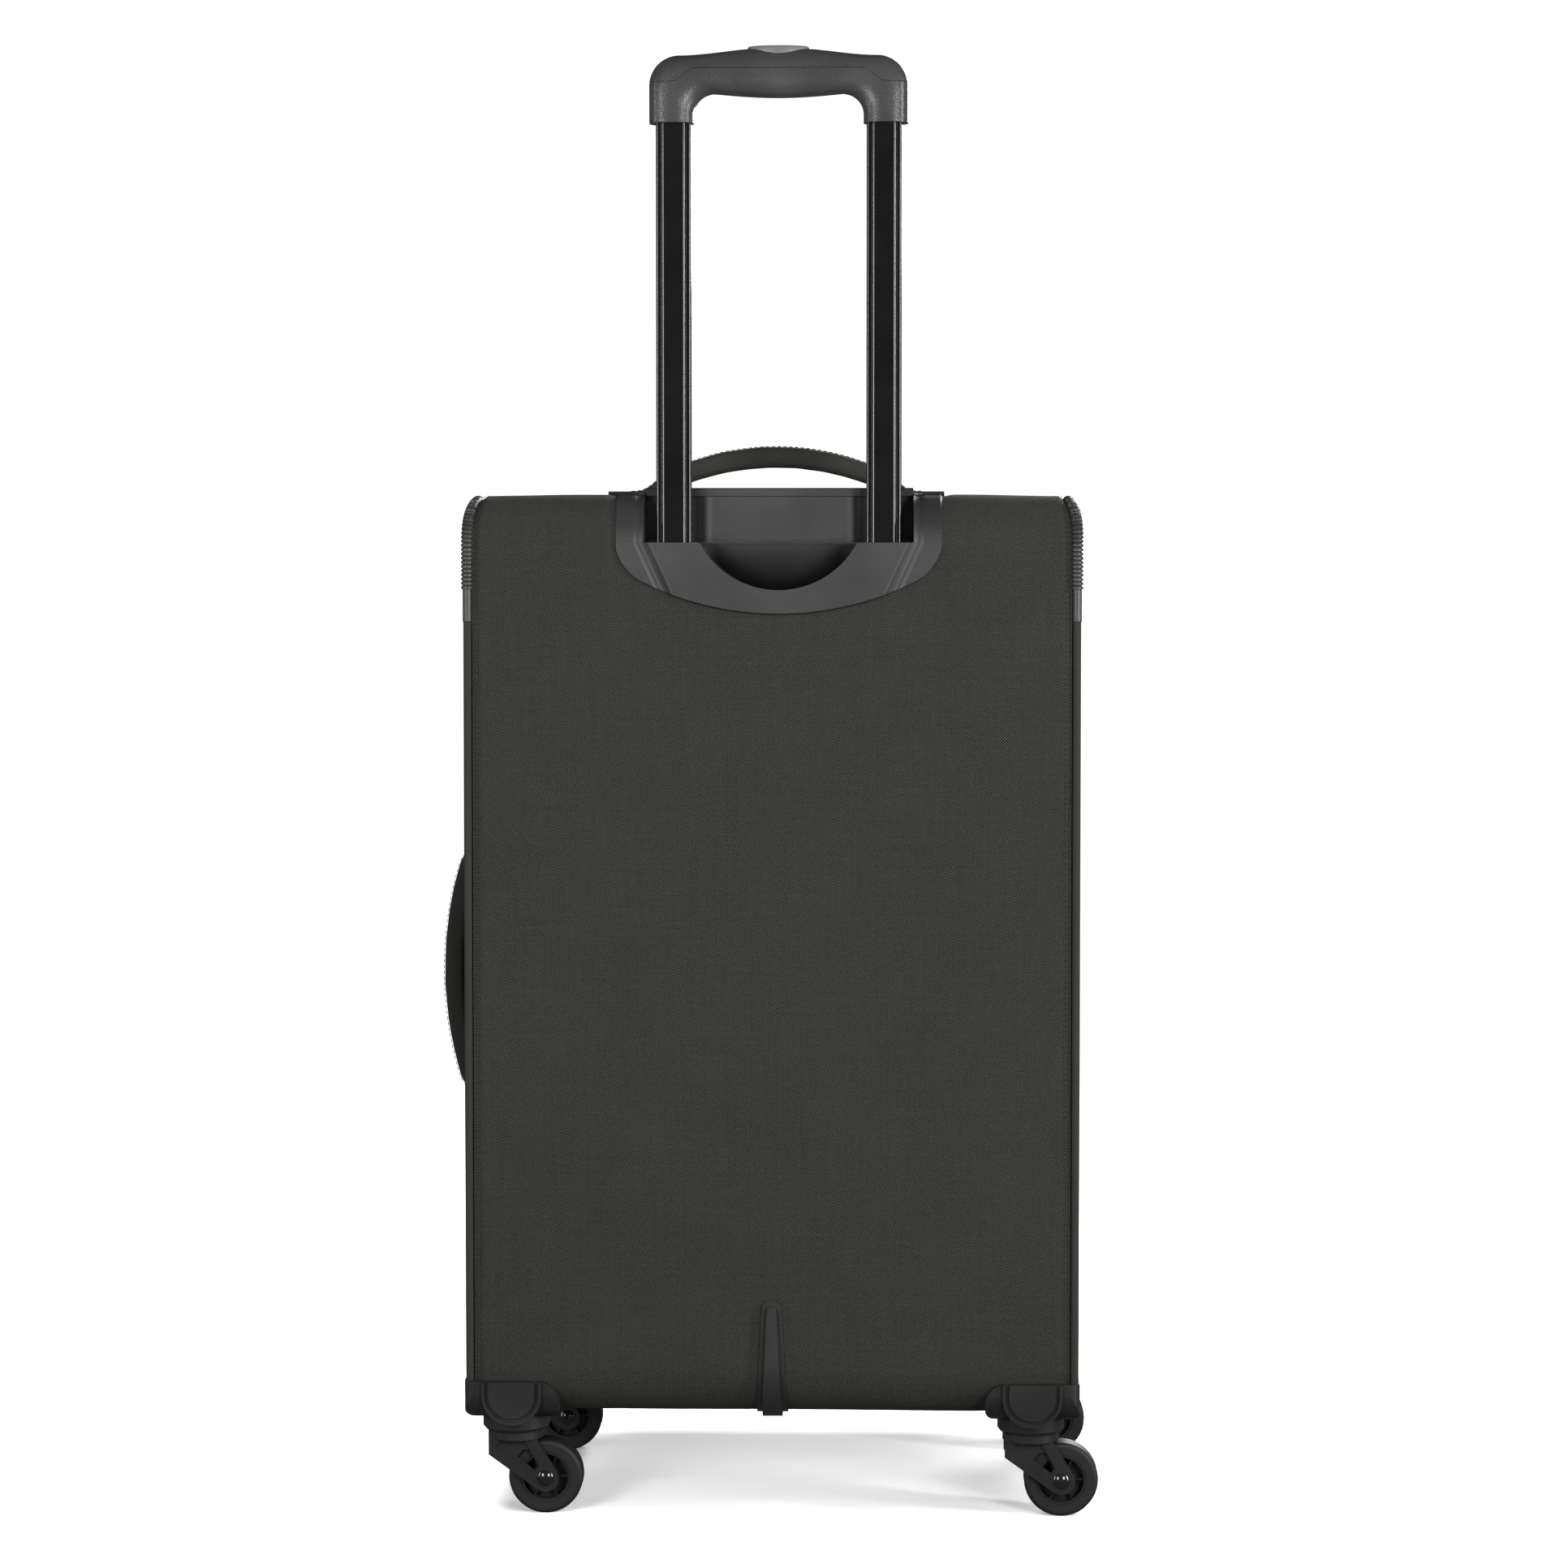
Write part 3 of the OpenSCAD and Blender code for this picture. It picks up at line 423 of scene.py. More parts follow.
# A darker copy of the bezel plastic for the recess ends behind the tubes: painted shade.
RECESS_PAINTED_SHADE = moulded("recess plastic", (0.012, 0.012, 0.012), 0.6)
# Plastic for the bezel's scoop, with painted shade that darkens it towards the bottom of the scoop.
SCOOP_PAINTED_SHADE = moulded("scoop plastic", (0.043, 0.043, 0.043), 0.5, painted_shade_heights=(TOP - 58 * MM, TOP - 34 * MM))
GRIP = moulded("grip plastic", (0.055, 0.055, 0.054), 0.3, grain=0.22 * MM, grain_scale=900.0)
BUTTON = moulded("button plastic", (0.18, 0.18, 0.18), 0.4)
CASTER = moulded("caster plastic", (0.018, 0.018, 0.018), 0.38)
INNER = moulded("inner plastic", (0.03, 0.03, 0.03), 0.6)
TYRE = moulded("wheel tyre", (0.009, 0.009, 0.009), 0.6)
TOOTH = moulded("zipper coil", (0.015, 0.015, 0.015), 0.35, grain=0.02 * MM)
TUBE = lacquer("black coated tube", (0.004, 0.004, 0.004), 0.15)
STEEL = metal("zinc plated steel", (0.45, 0.45, 0.46), 0.35)
SLIDER = metal("gunmetal slider", (0.16, 0.16, 0.165), 0.32, along=(1.0, 1.0, 1.0))
AXLE = metal("axle cap", (0.03, 0.03, 0.03), 0.14, metallic=0.6, coat=0.6, along=(1.0, 1.0, 1.0))

NODE_LOOKS = {
    BEZEL: ["trolley_bezel"],
    RUBBER: ["corner_guards"],
    SKID: ["bottom_skid"],
    GRIP: ["grip_upper", "grip_lower"],
    BUTTON: ["release_button"],
    TUBE: ["inner_tubes"],
    STEEL: ["outer_tubes", "push_rods", "button_spring", "left_lock_pin", "right_lock_pin"],
    INNER: ["back_board", "tube_foot_bracket", "guide_bushes", "lock_blocks"],
}


def dress_frame():
    """Gives every CAD node that stays in view its material and softened edges."""
    looks = {node: material for material, named in NODE_LOOKS.items() for node in named}
    for node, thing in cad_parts.items():
        if node.endswith(("_slider", "_puller")):
            looks[node] = SLIDER
        if node.endswith(("_housing", "_fork", "_hub")):
            looks[node] = CASTER
        if node.endswith("_axle"):
            looks[node] = AXLE
        if node.endswith("_tyre"):
            looks[node] = TYRE
        thing.data.materials.clear()
        thing.data.materials.append(looks.get(node, SHELL))
        if node in looks:
            soften(thing, 0.25 * MM if node.endswith(("_slider", "_puller", "_hub")) else 0.5 * MM)


def soften(thing, width):
    edge = thing.modifiers.new("soft edges", "BEVEL")
    edge.width = width
    edge.segments = 2
    edge.limit_method = "ANGLE"
    edge.angle_limit = math.radians(40)
    edge.harden_normals = True
    edge.use_clamp_overlap = True


# ---- The case's fabric ----


def panel_relief(edge, u, v):
    """How far a foam-backed panel stands out, edge metres from its seam."""
    seam = -1.5 * MM * (1 - smooth(edge / (7 * MM)))
    swell = 1.1 * MM * smooth(edge / (70 * MM))
    waves = 0.8 * MM * wobble(u, v, 0, 90 * MM) * smooth(edge / (25 * MM))
    pucker = 0.5 * MM * wobble(u, v, 5, 11 * MM) * math.exp(-edge / (8 * MM)) * smooth(edge / (2 * MM))
    return seam + swell + waves + pucker


def wrap_fabric():
    """One cloth from the bottom up the back and over the top, open behind the trolley bezel."""
    ends = (FRONT - FRONT_R, LOW, 0.0, -1.0), (FRONT - FRONT_R, TOP, 0.0, 1.0)
    line = filled([ends[0], *rear_bends(0), ends[1]], 4 * MM)
    xs = spread(WRAP_LEFT, WRAP_RIGHT, 12 * MM, 1.2 * MM, 4 * MM)
    rows = []
    run = 0.0
    for i, (y, z, ny, nz) in enumerate(line):
        run += math.dist(line[i - 1][:2], (y, z)) if i else 0.0
        row = []
        for x in xs:
            beside = smooth((117 * MM - abs(x - TROLLEY_X)) / (8 * MM))
            under_bezel = beside * smooth((z - TOP + 90 * MM) / (8 * MM))
            out = panel_relief(min(x - WRAP_LEFT, WRAP_RIGHT - x), x, run) * (1 - under_bezel)
            row.append(rounded_top(x, y + ny * out, z + nz * out))
        rows.append(row)

    def clear_of_bezel(p):
        x = abs(p.x - TROLLEY_X)
        beside_recess = x < 93 * MM and p.z > TOP - 42 * MM and p.y < BACK + 33 * MM
        behind_scoop = x < 60 * MM and p.z > TOP - 67 * MM and p.y < BACK + 20 * MM
        return not (beside_recess or behind_scoop)

    made = grid("wrap_cloth", rows, SHELL, "case", clear_of_bezel)
    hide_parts("wrap_panel")


def rounded_line(centre, half_w, half_h, r, corner, side):
    """Points (u, v) round a rectangle with rounded corners, back to the first.

    corner is the count of steps on each bend, and side the count on each straight.
    """
    out = []
    for quarter, (su, sv) in enumerate(((1, 1), (-1, 1), (-1, -1), (1, -1))):
        angles = [math.radians(90 * (quarter + i / corner)) for i in range(corner + 1)]
        u, v = centre[0] + su * (half_w - r), centre[1] + sv * (half_h - r)
        arc = [(u + r * math.cos(a), v + r * math.sin(a)) for a in angles]
        if out:
            out += straight(out[-1], arc[0], side)
        out += arc
    return out + straight(out[-1], out[0], side) + [out[0]]


def straight(a, b, count):
    """The points between a and b that split their distance into count steps."""
    return [tuple(mix(p, q, i / count) for p, q in zip(a, b)) for i in range(1, count)]


def rounded_field(centre, half_w, half_h, radii, step, edge):
    """Points (u, v, distance from the rim) that fill a rectangle with rounded corners. radii: right, left."""
    us = spread(centre[0] - half_w, centre[0] + half_w, edge, step / 3, step)
    vs = spread(centre[1] - half_h, centre[1] + half_h, edge, step / 3, step)
    rows = []
    for v in vs:
        row = []
        for u in us:
            r = radii[0] if u > centre[0] else radii[1]
            du, dv = u - centre[0], v - centre[1]
            past_u, past_v = abs(du) - (half_w - r), abs(dv) - (half_h - r)
            rim = min(half_w - abs(du), half_h - abs(dv))
            if past_u > 0 and past_v > 0:
                reach = max(past_u, past_v)
                share = reach / math.hypot(past_u, past_v)
                past_u, past_v = past_u * share, past_v * share
                du = math.copysign(half_w - r + past_u, du)
                dv = math.copysign(half_h - r + past_v, dv)
                rim = r - math.hypot(past_u, past_v)
            row.append((centre[0] + du, centre[1] + dv, max(rim, 0.0)))
        rows.append(row)
    return rows


def side_fabric():
    for node, x, out in (("left_side_panel", LEFT, -1), ("right_side_panel", RIGHT, 1)):
        centre = (BACK + FRONT) / 2, MID_Z
        inset = 3.2 * MM
        half = (FRONT - BACK) / 2 - inset, (TOP - LOW) / 2 - inset
        field = rounded_field(centre, *half, (FRONT_R - inset, REAR_R - inset), 4 * MM, 12 * MM)
        rows = [[rounded_top(x + out * (panel_relief(rim, u + out, v) - 0.3 * MM), u, v) for u, v, rim in row]
                for row in field]
        made = grid(node.replace("panel", "cloth"), rows, SHELL, "case")
        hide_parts(node)


def profile_path(off):
    """The case's side outline as a closed line, off outside it: points (y, z) and outward directions."""
    line = rear_bends(off) + front_bends(off)
    return filled(line + [line[0]], 5 * MM)[:-1]


def edge_piping():
    for side, sign in (("left", -1), ("right", 1)):
        x = MID_X + sign * PIPE_X
        line = profile_path(PIPE_OUT - PIPE_R)
        path = [{"at": rounded_top(x, y, z), "up": Vector((1, 0, 0))} for y, z, _, _ in line]
        made = sweep(f"piping_{side}", path, lambda i, t: circle(PIPE_R), TRIM, "case", closed=True)
        if sign < 0:
            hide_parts("edge_piping")
        seam_off = 0.4 * MM
        line = filled(rear_bends(seam_off), 4 * MM)
        seam_x = MID_X + sign * (WRAP_RIGHT - MID_X - 3.2 * MM)
        points = [Vector(rounded_top(seam_x, y, z)) for y, z, _, _ in line if z > HOUSING_TOP]
        thread = [capsule(p, d, Vector((sign, 0, 0)), 2.6 * MM, 0.5 * MM, 0.5 * MM)
                  for p, d in along_line(points, 3.6 * MM)]
        joined(f"seam_stitches_{side}", thread, THREAD, "case")


def corner_guards():
    """Rubber sleeves over the piping's rear top corners: plain below, close ribs above."""
    start = low("corner_guards").z
    plain = 22 * MM
    pitch = 2.8 * MM
    for side, sign in (("left", -1), ("right", 1)):
        x = MID_X + sign * PIPE_X
        off = PIPE_OUT - PIPE_R
        line = [(BACK - off, start, -1.0, 0.0), *bend(BACK + REAR_R, TOP - REAR_R, REAR_R + off, 180, 90)]
        line.append((BACK + REAR_R + 10 * MM, TOP + off, 0.0, 1.0))
        line = filled(line, 0.35 * MM)
        path = [{"at": rounded_top(x, y, z), "up": Vector((1, 0, 0))} for y, z, _, _ in line]
        runs = np.concatenate([[0], np.cumsum([math.dist(a[:2], b[:2]) for a, b in zip(line, line[1:])])])

        def section(i, _):
            run = runs[i]
            radius = PIPE_R + 0.35 * MM
            if run > plain:
                phase = (run - plain) % pitch / pitch
                radius += 0.95 * MM * smooth(phase / 0.15) * smooth((1 - phase) / 0.45)
            ends = smooth(run / (0.8 * MM)) * smooth((runs[-1] - run) / (0.8 * MM))
            return circle(mix(PIPE_R, radius, ends), 18)

        made = sweep(f"corner_guard_{side}", path, section, RUBBER, "case", sharp=60)
        if sign < 0:
            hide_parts("corner_guards")


# ---- Trolley bezel ----


def bezel_moulding():
    """The bezel as one skin. Each column runs up the face, through the scoop and recess, and over the top."""
    lo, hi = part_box("trolley_bezel")
    half = (hi.x - lo.x) / 2
    arc_r, corner_r = 204 * MM, 35 * MM
    arc_z = lo.z + arc_r
    corner_x = half - corner_r
    corner_z = arc_z - math.sqrt((arc_r - corner_r) ** 2 - corner_x**2)
    touch_x = corner_x * arc_r / (arc_r - corner_r)
    floor_z = TOP - 31 * MM
    scoop_z, scoop_r = floor_z + 27.5 * MM, 59 * MM
    crease_half = 98.5 * MM
    wing, plate = 1.9 * MM, 4.7 * MM
    lip = 0.6 * MM
    rim_count, slope_count, floor_count, wall_count = 14, 12, 8, 18
    inside_count = rim_count + slope_count + 2 + floor_count + wall_count + 3

    def foot(x):
        if x <= touch_x:
            return arc_z - math.sqrt(arc_r**2 - x**2)
        return corner_z - math.sqrt(max(corner_r**2 - (x - corner_x) ** 2, 0.0))

    def stand(x, z, edge):
        """The face's height above the case."""
        crease = crease_half - 0.46 * max(0.0, floor_z + 5 * MM - z)
        slope = min(max((crease - x) / (10 * MM), 0.0), 1.0)
        valley = 2.0 * MM * 4 * slope * (1 - slope)
        return (mix(wing, plate, slope) - valley) * smooth(min(edge, half - x) / (1.4 * MM)) - 0.2 * MM

    def column(x, inside):
        side = abs(x)
        bottom = foot(side)
        rim = scoop_z - math.sqrt(scoop_r**2 - side**2) if side < scoop_r else floor_z
        rim = min(rim, floor_z)
        points = []
        for t in np.linspace(0, 1, 40):
            z = mix(bottom, rim, t**1.4)
            points.append((BACK - stand(side, z, z - bottom + (0.35 * MM if t else 0.0)), z))
        height = stand(side, floor_z, 1.0)
        recess_y = BACK + mix(29, 31.6, smooth((side - 44 * MM) / (14 * MM))) * MM
        scoop_y = BACK + mix(14, 31, smooth((floor_z - rim) / (16 * MM))) * MM
        lip_y = BACK + 27.4 * MM
        if inside:
            points += [(mix(BACK - plate, scoop_y, t), rim) for t in np.linspace(0.04, 1, rim_count)]
            wall_y = BACK + 14 * MM
            edge_z = max(floor_z - 1.1 * MM, rim)
            slope = np.linspace(0.05, 1, slope_count)
            points += [(mix(scoop_y, wall_y, t), mix(rim, edge_z, t)) for t in slope]
            points += [(wall_y + 1.4 * MM, floor_z - 0.5 * MM), (wall_y + 1.4 * MM, floor_z)]
            points += [(mix(wall_y, recess_y, t), floor_z) for t in np.linspace(0.1, 1, floor_count)]
            wall = np.linspace(0.05, 1, wall_count)
            points += [(recess_y, mix(floor_z, TOP - 0.4 * MM, t)) for t in wall]
            points += [(lip_y, TOP), (lip_y, TOP + plate), (lip_y + lip, TOP + plate + 0.8 * MM)]
        else:
            arc = bend(BACK + REAR_R, TOP - REAR_R, REAR_R + height, 180, 90, 0.6 * MM)
            arc = [(y, z) for y, z, _, _ in arc if z > floor_z and y < lip_y]
            picks = np.linspace(0, len(arc) - 1, inside_count - 1).round().astype(int)
            points += [arc[k] for k in picks] + [(lip_y + lip, TOP + height)]
        back_edge = hi.y
        for t in np.linspace(0.1, 1, 12):
            y = mix(lip_y + lip, back_edge, t)
            tail = wing * smooth((half - side) / (1.4 * MM))
            rise = mix(height, tail, smooth((y - BACK - 36 * MM) / (3 * MM)))
            rise *= smooth((back_edge - y) / (1.4 * MM))
            around = TOP - REAR_R + math.sqrt(max(REAR_R**2 - max(BACK + REAR_R - y, 0.0) ** 2, 0.0))
            points.append((y, around + rise - 0.2 * MM))
        return [(TROLLEY_X + x, y, z) for y, z in points]

    outer = [half, half - 0.3 * MM, half - 0.8 * MM, half - 1.5 * MM, *np.arange(106, 90, -1) * MM, 89.7 * MM]
    inner = [89.4 * MM, *np.arange(89, 0, -1) * MM]
    columns = [column(-x, False) for x in outer] + [column(-x, True) for x in inner] + [column(0.0, True)]
    columns += [column(x, True) for x in reversed(inner)] + [column(x, False) for x in reversed(outer)]

    def clear_of_tubes(p):
        on_floor = abs(p.z - floor_z) < 0.2 * MM and p.y > BACK
        beside = abs(abs(p.x - TROLLEY_X) - TUBE_X) < 12.4 * MM and abs(p.y - TUBE_Y) < 7.4 * MM
        return not (on_floor and beside)

    made = grid("bezel_moulding", columns, BEZEL, "case", clear_of_tubes, sharp=35)
    for extra in (RECESS_PAINTED_SHADE, SCOOP_PAINTED_SHADE):
        made.data.materials.append(extra)
    # The recess ends behind the tubes get the darker copy of the plastic, as painted shade; the scoop gets the
    # plastic with painted shade towards its bottom.
    for face in made.data.polygons:
        x, y, z = abs(face.center.x - TROLLEY_X), face.center.y - BACK, face.center.z
        if 20 * MM < y < 33 * MM and x > 54 * MM and z > floor_z + 1 * MM:
            face.material_index = 1
        elif y > 3 * MM and z < floor_z - 0.3 * MM:
            face.material_index = 2
    soften(made, 0.35 * MM)
    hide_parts("trolley_bezel")


# ---- Trolley grip ----


def grip_body():
    """The whole grip: two legs and a bar, round in section, through matched outer and inner lines."""
    half = (high("grip_lower").x - low("grip_lower").x) / 2
    leg = 29.8 * MM
    outer_r, inner_r = 20 * MM, 14 * MM
    shoulder = GRIP_TOP - 5.2 * MM
    under = GRIP_LOW + 19.5 * MM
    depth = (high("grip_lower").y - low("grip_lower").y) / 2
    pairs = []
    for t in np.linspace(0, 1, 16):
        out, into = mix(GRIP_LOW, shoulder - outer_r, t), mix(GRIP_LOW, under - inner_r, t)
        pairs.append(((half, out), (half - leg, into)))
    for a in np.radians(np.linspace(5, 90, 16)):
        out = (half - outer_r * (1 - math.cos(a)), shoulder - outer_r * (1 - math.sin(a)))
        into = (half - leg - inner_r * (1 - math.cos(a)), under - inner_r * (1 - math.sin(a)))
        pairs.append((out, into))
    for t in np.linspace(0.06, 1, 20):
        crown = 4.6 * MM * smooth(t * 1.15)
        sag = 2.6 * MM * math.sin(t * math.pi / 2)
        out = ((half - outer_r) * (1 - t), shoulder + crown)
        pairs.append((out, ((half - leg - inner_r) * (1 - t), under - sag)))
    rows = []
    sides = [(x, z, 1) for x, z in pairs] + [(x, z, -1) for x, z in reversed(pairs[:-1])]
    for outer, inner, sign in sides:
        row = []
        for c, s in block(2, 2, 0.72, 40):
            x = (outer[0] + inner[0]) / 2 + c * (outer[0] - inner[0]) / 2
            z = (outer[1] + inner[1]) / 2 + c * (outer[1] - inner[1]) / 2
            row.append((TROLLEY_X + sign * x, TUBE_Y + s * depth, z))
        rows.append(row + [row[0]])
    made = grid("grip_whole", rows, GRIP, None)
    cap_ends(made)
    return made


def prism(outline, y0, y1):
    """A closed (x, z) outline as a solid from y0 to y1, for cutting."""
    count = len(outline)
    verts = [(x, y, z) for y in (y0, y1) for x, z in outline]
    faces = [tuple(range(count)), tuple(range(count, 2 * count))]
    faces += [(i, (i + 1) % count, count + (i + 1) % count, count + i) for i in range(count)]
    return piece("cutter", verts, faces, GRIP, None)


def cut(whole, cutter, operation, name, body):
    """A copy of whole after a boolean with cutter."""
    made = whole.copy()
    made.data = whole.data.copy()
    made.name = name
    bpy.context.scene.collection.objects.link(made)
    tool = made.modifiers.new("cut", "BOOLEAN")
    tool.operation = operation
    tool.object = cutter
    tool.solver = "EXACT"
    bpy.context.view_layer.update()
    made.data = bpy.data.meshes.new_from_object(made.evaluated_get(bpy.context.evaluated_depsgraph_get()))
    made.modifiers.clear()
    made.data.shade_smooth()
    made.data.set_sharp_from_angle(angle=math.radians(40))
    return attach(made, body)


def grip():
    whole = grip_body()
    parting = GRIP_LOW + 26.6 * MM
    raised = parting + 8.7 * MM
    far = 0.1

    def above(lift):
        """A solid that fills the space above the parting line, which rises between the shoulders."""
        line = [(-100, 0), (-72, 0), (-68, 0.5), (-58, 8.2), (-54, 8.7)]
        line += [(-x, z) for x, z in reversed(line)]
        outline = [(TROLLEY_X + x * MM, parting + z * MM + lift) for x, z in line]
        outline += [(TROLLEY_X + far, raised + far), (TROLLEY_X - far, raised + far)]
        return prism(outline, TUBE_Y - far / 2, TUBE_Y + far / 2)

    cutters = above(0.25 * MM), above(0.0)
    for cutter, operation, node in zip(cutters, ("INTERSECT", "DIFFERENCE"), ("grip_upper", "grip_lower")):
        made = cut(whole, cutter, operation, f"{node}_shell", "trolley")
        soften(made, 0.25 * MM)
        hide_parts(node)
    for spare in (whole, *cutters):
        bpy.data.objects.remove(spare)


def button():
    """A flat-topped pad, oval from above, let into the grip's round back."""
    top = high("release_button").z
    foot = low("release_button").z + 2.8 * MM
    wide, deep = 20.6 * MM, 10.6 * MM
    rows = []
    top -= 1.2 * MM
    for z, grow in ((foot, 0.0), (top - 1 * MM, 0.0), (top - 0.4 * MM, -0.2 * MM), (top, -0.8 * MM)):
        row = [(TROLLEY_X + (wide + grow) * c, TUBE_Y + (deep + grow) * s, z) for c, s in circle(1, 48)]
        rows.append(row + [row[0]])
    made = grid("button_cap", rows, BUTTON, "button", sharp=50)
    cap_ends(made)
    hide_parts("release_button")


# ---- Carry handles ----


def handle_line(rise, arc_r, t_mid):
    """(x, centre height, thickness, width) along half a carry handle, from its middle to its sewn end."""
    out = []
    for x in np.linspace(0, 116, 60) * MM:
        arc = rise - arc_r + math.sqrt(arc_r**2 - x**2)
        ease = smooth((x - 58 * MM) / (44 * MM))
        thick = mix(t_mid, 3.4 * MM, ease)
        outer = mix(arc, 4.3 * MM, smooth((x - 74 * MM) / (26 * MM)))
        outer = max(outer, 4.1 * MM)
        width = mix(26 * MM, 22 * MM, ease) * (1 - 0.04 * smooth((x - 108 * MM) / (8 * MM)))
        out.append((x, outer - thick / 2, thick, width))
    return out


def carry_handle(node, place, up_axis, rise, arc_r):
    """Two padded halves that bend from the handle's body to the case. place maps (along, across, height)."""
    line = handle_line(rise, arc_r, 14.5 * MM)
    for side, sign in (("a", 1), ("b", -1)):
        bend_start, bend_end = place(sign * 64 * MM, 0, 0), place(sign * 92 * MM, 0, 0)
        rows = []
        for x, z, thick, width in line:
            row = []
            for c, s in block(width, thick, 0.55, 32):
                dent = 1 + 0.03 * wobble(x * sign, c, s, 9 * MM)
                row.append(place(sign * x, c * dent, z + s * dent))
            rows.append(row + [row[0]])
        # The side handle takes the darker copy of the trim cloth, as painted shade.
        made = grid(f"{node}_pad_{side}", rows, TRIM if node == "top_handle" else TRIM_PAINTED_SHADE, None)
        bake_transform(made)
        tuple(bend_start)
        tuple(bend_end)
        if sign > 0:
            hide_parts(*([node, "handle_anchors"] if node == "top_handle" else [node]))
        for edge in (-1, 1):
            points = []
            for x, z, thick, width in line[:52]:
                points.append(Vector(place(sign * x, edge * (width / 2 - 3.4 * MM), z + thick / 2 + 0.1 * MM)))
            thread = stitches(f"{node}_stitch_{side}{'mp'[edge > 0]}", points, up_axis, THREAD, None)
            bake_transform(thread)
            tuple(bend_start)
            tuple(bend_end)


def carry_handles():
    mid_y = middle("top_handle").y
    mid_z = middle("side_handle").z
    carry_handle("top_handle", lambda a, b, h: (MID_X + a, mid_y + b, TOP + h), Vector((0, 0, 1)),
                 high("top_handle").z - TOP, 178 * MM)
    carry_handle("side_handle", lambda a, b, h: (LEFT - h, mid_y + b, mid_z + a), Vector((-1, 0, 0)),
                 LEFT - low("side_handle").x, 260 * MM)


# ---- Front: border, lid, zippers and pockets ----

LID_R = 55 * MM
OPEN_W = (high("case_zipper").x - low("case_zipper").x) / 2
OPEN_H = (high("case_zipper").z - low("case_zipper").z) / 2
OPEN_Z = middle("case_zipper").z
ZIP_W = OPEN_H - (high("lid_panel").z - low("lid_panel").z) / 2


def loop(inset, y):
    """A line round the lid opening, inset from its edge, with the same count of points for any inset."""
    line = rounded_line((MID_X, OPEN_Z), OPEN_W - inset, OPEN_H - inset, LID_R - inset, 16, 40)
    return [Vector((x, y, z)) for x, z in line]


def ring(name, insets, material, body, keep=None):
    """A band round the lid opening through (inset, y) lines."""
    return grid(name, [loop(inset, y) for inset, y in insets], material, body, keep)


def border_fabric():
    """The case's front face round the lid opening, and the bends above and below it."""
    reach = (WRAP_RIGHT - MID_X) - OPEN_W
    flat_h = (TOP - LOW) / 2 - FRONT_R
    wide, tall, corner_r = OPEN_W + reach, OPEN_H + reach, LID_R + reach

    def to_rectangle(p):
        """Moves a point of the wide loop out to the square-cornered edge of the front face."""
        along, up = abs(p.x - MID_X), abs(p.z - OPEN_Z)
        past_x, past_z = along - (wide - corner_r), up - (tall - corner_r)
        if past_x > 0 and past_z > 0:
            grow = corner_r / max(past_x, past_z)
            along, up = wide - corner_r + past_x * grow, tall - corner_r + past_z * grow
        z = MID_Z + math.copysign(up / tall * flat_h, p.z - OPEN_Z)
        return Vector((MID_X + math.copysign(along, p.x - MID_X), FRONT, z))

    rows = []
    for t in np.linspace(0, 1, 12):
        row = []
        for a, b in zip(loop(0, FRONT), loop(-reach, FRONT)):
            p = a.lerp(to_rectangle(b), t)
            seams = 1.2 * MM * smooth((t - 0.8) / 0.2) + 0.8 * MM * (1 - smooth(t / 0.12))
            p.y += 1.0 * MM * math.sin(t * math.pi) - seams
            row.append(p)
        rows.append(row)
    made = grid("border_cloth", rows, SHELL, "case")
    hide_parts("front_border")
    xs = spread(WRAP_LEFT, WRAP_RIGHT, 12 * MM, 1.2 * MM, 6 * MM)
    for name, z, first, last in (("top", TOP - FRONT_R, 90, 0), ("low", LOW + FRONT_R, 0, -90)):
        line = bend(FRONT - FRONT_R, z, FRONT_R, first, last)
        rows = []
        for y, zz, ny, nz in line:
            outs = [panel_relief(min(x - WRAP_LEFT, WRAP_RIGHT - x), x, zz) for x in xs]
            rows.append([rounded_top(x, y + ny * out, zz + nz * out) for x, out in zip(xs, outs)])
        grid(f"border_bend_{name}", rows, SHELL, "case")


def hinge_side(p):
    """Whether a point lies on the lid's fabric hinge."""
    return p.x > MID_X + OPEN_W - 30 * MM and abs(p.z - OPEN_Z) < OPEN_H - LID_R


def zippers():
    """Tapes and coil teeth of the main zipper, on the case and on the lid."""
    half = ZIP_W / 2
    tapes = (("case", 0.0, half - 0.4 * MM, -1, "case_zipper"),
             ("lid", half + 0.4 * MM, ZIP_W, 1, "lid_zipper"))
    for body, first, last, sign, node in tapes:
        tape = ring(f"{body}_zip_tape", [(first, FRONT - 1.5 * MM), (last, FRONT - 1.5 * MM)], TAPE, body,
                    lambda p: not hinge_side(p))
        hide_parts(node)
        teeth = []
        for p, d in along_line(loop(half + sign * 1.5 * MM, FRONT - 1.2 * MM), 1.9 * MM):
            if not hinge_side(p):
                across = d.cross(Vector((0, 1, 0)))
                teeth.append(capsule(p, across, Vector((0, 1, 0)), 3.2 * MM, 1.3 * MM, 1.8 * MM))
        joined(f"{body}_zip_teeth", teeth, TOOTH, body)


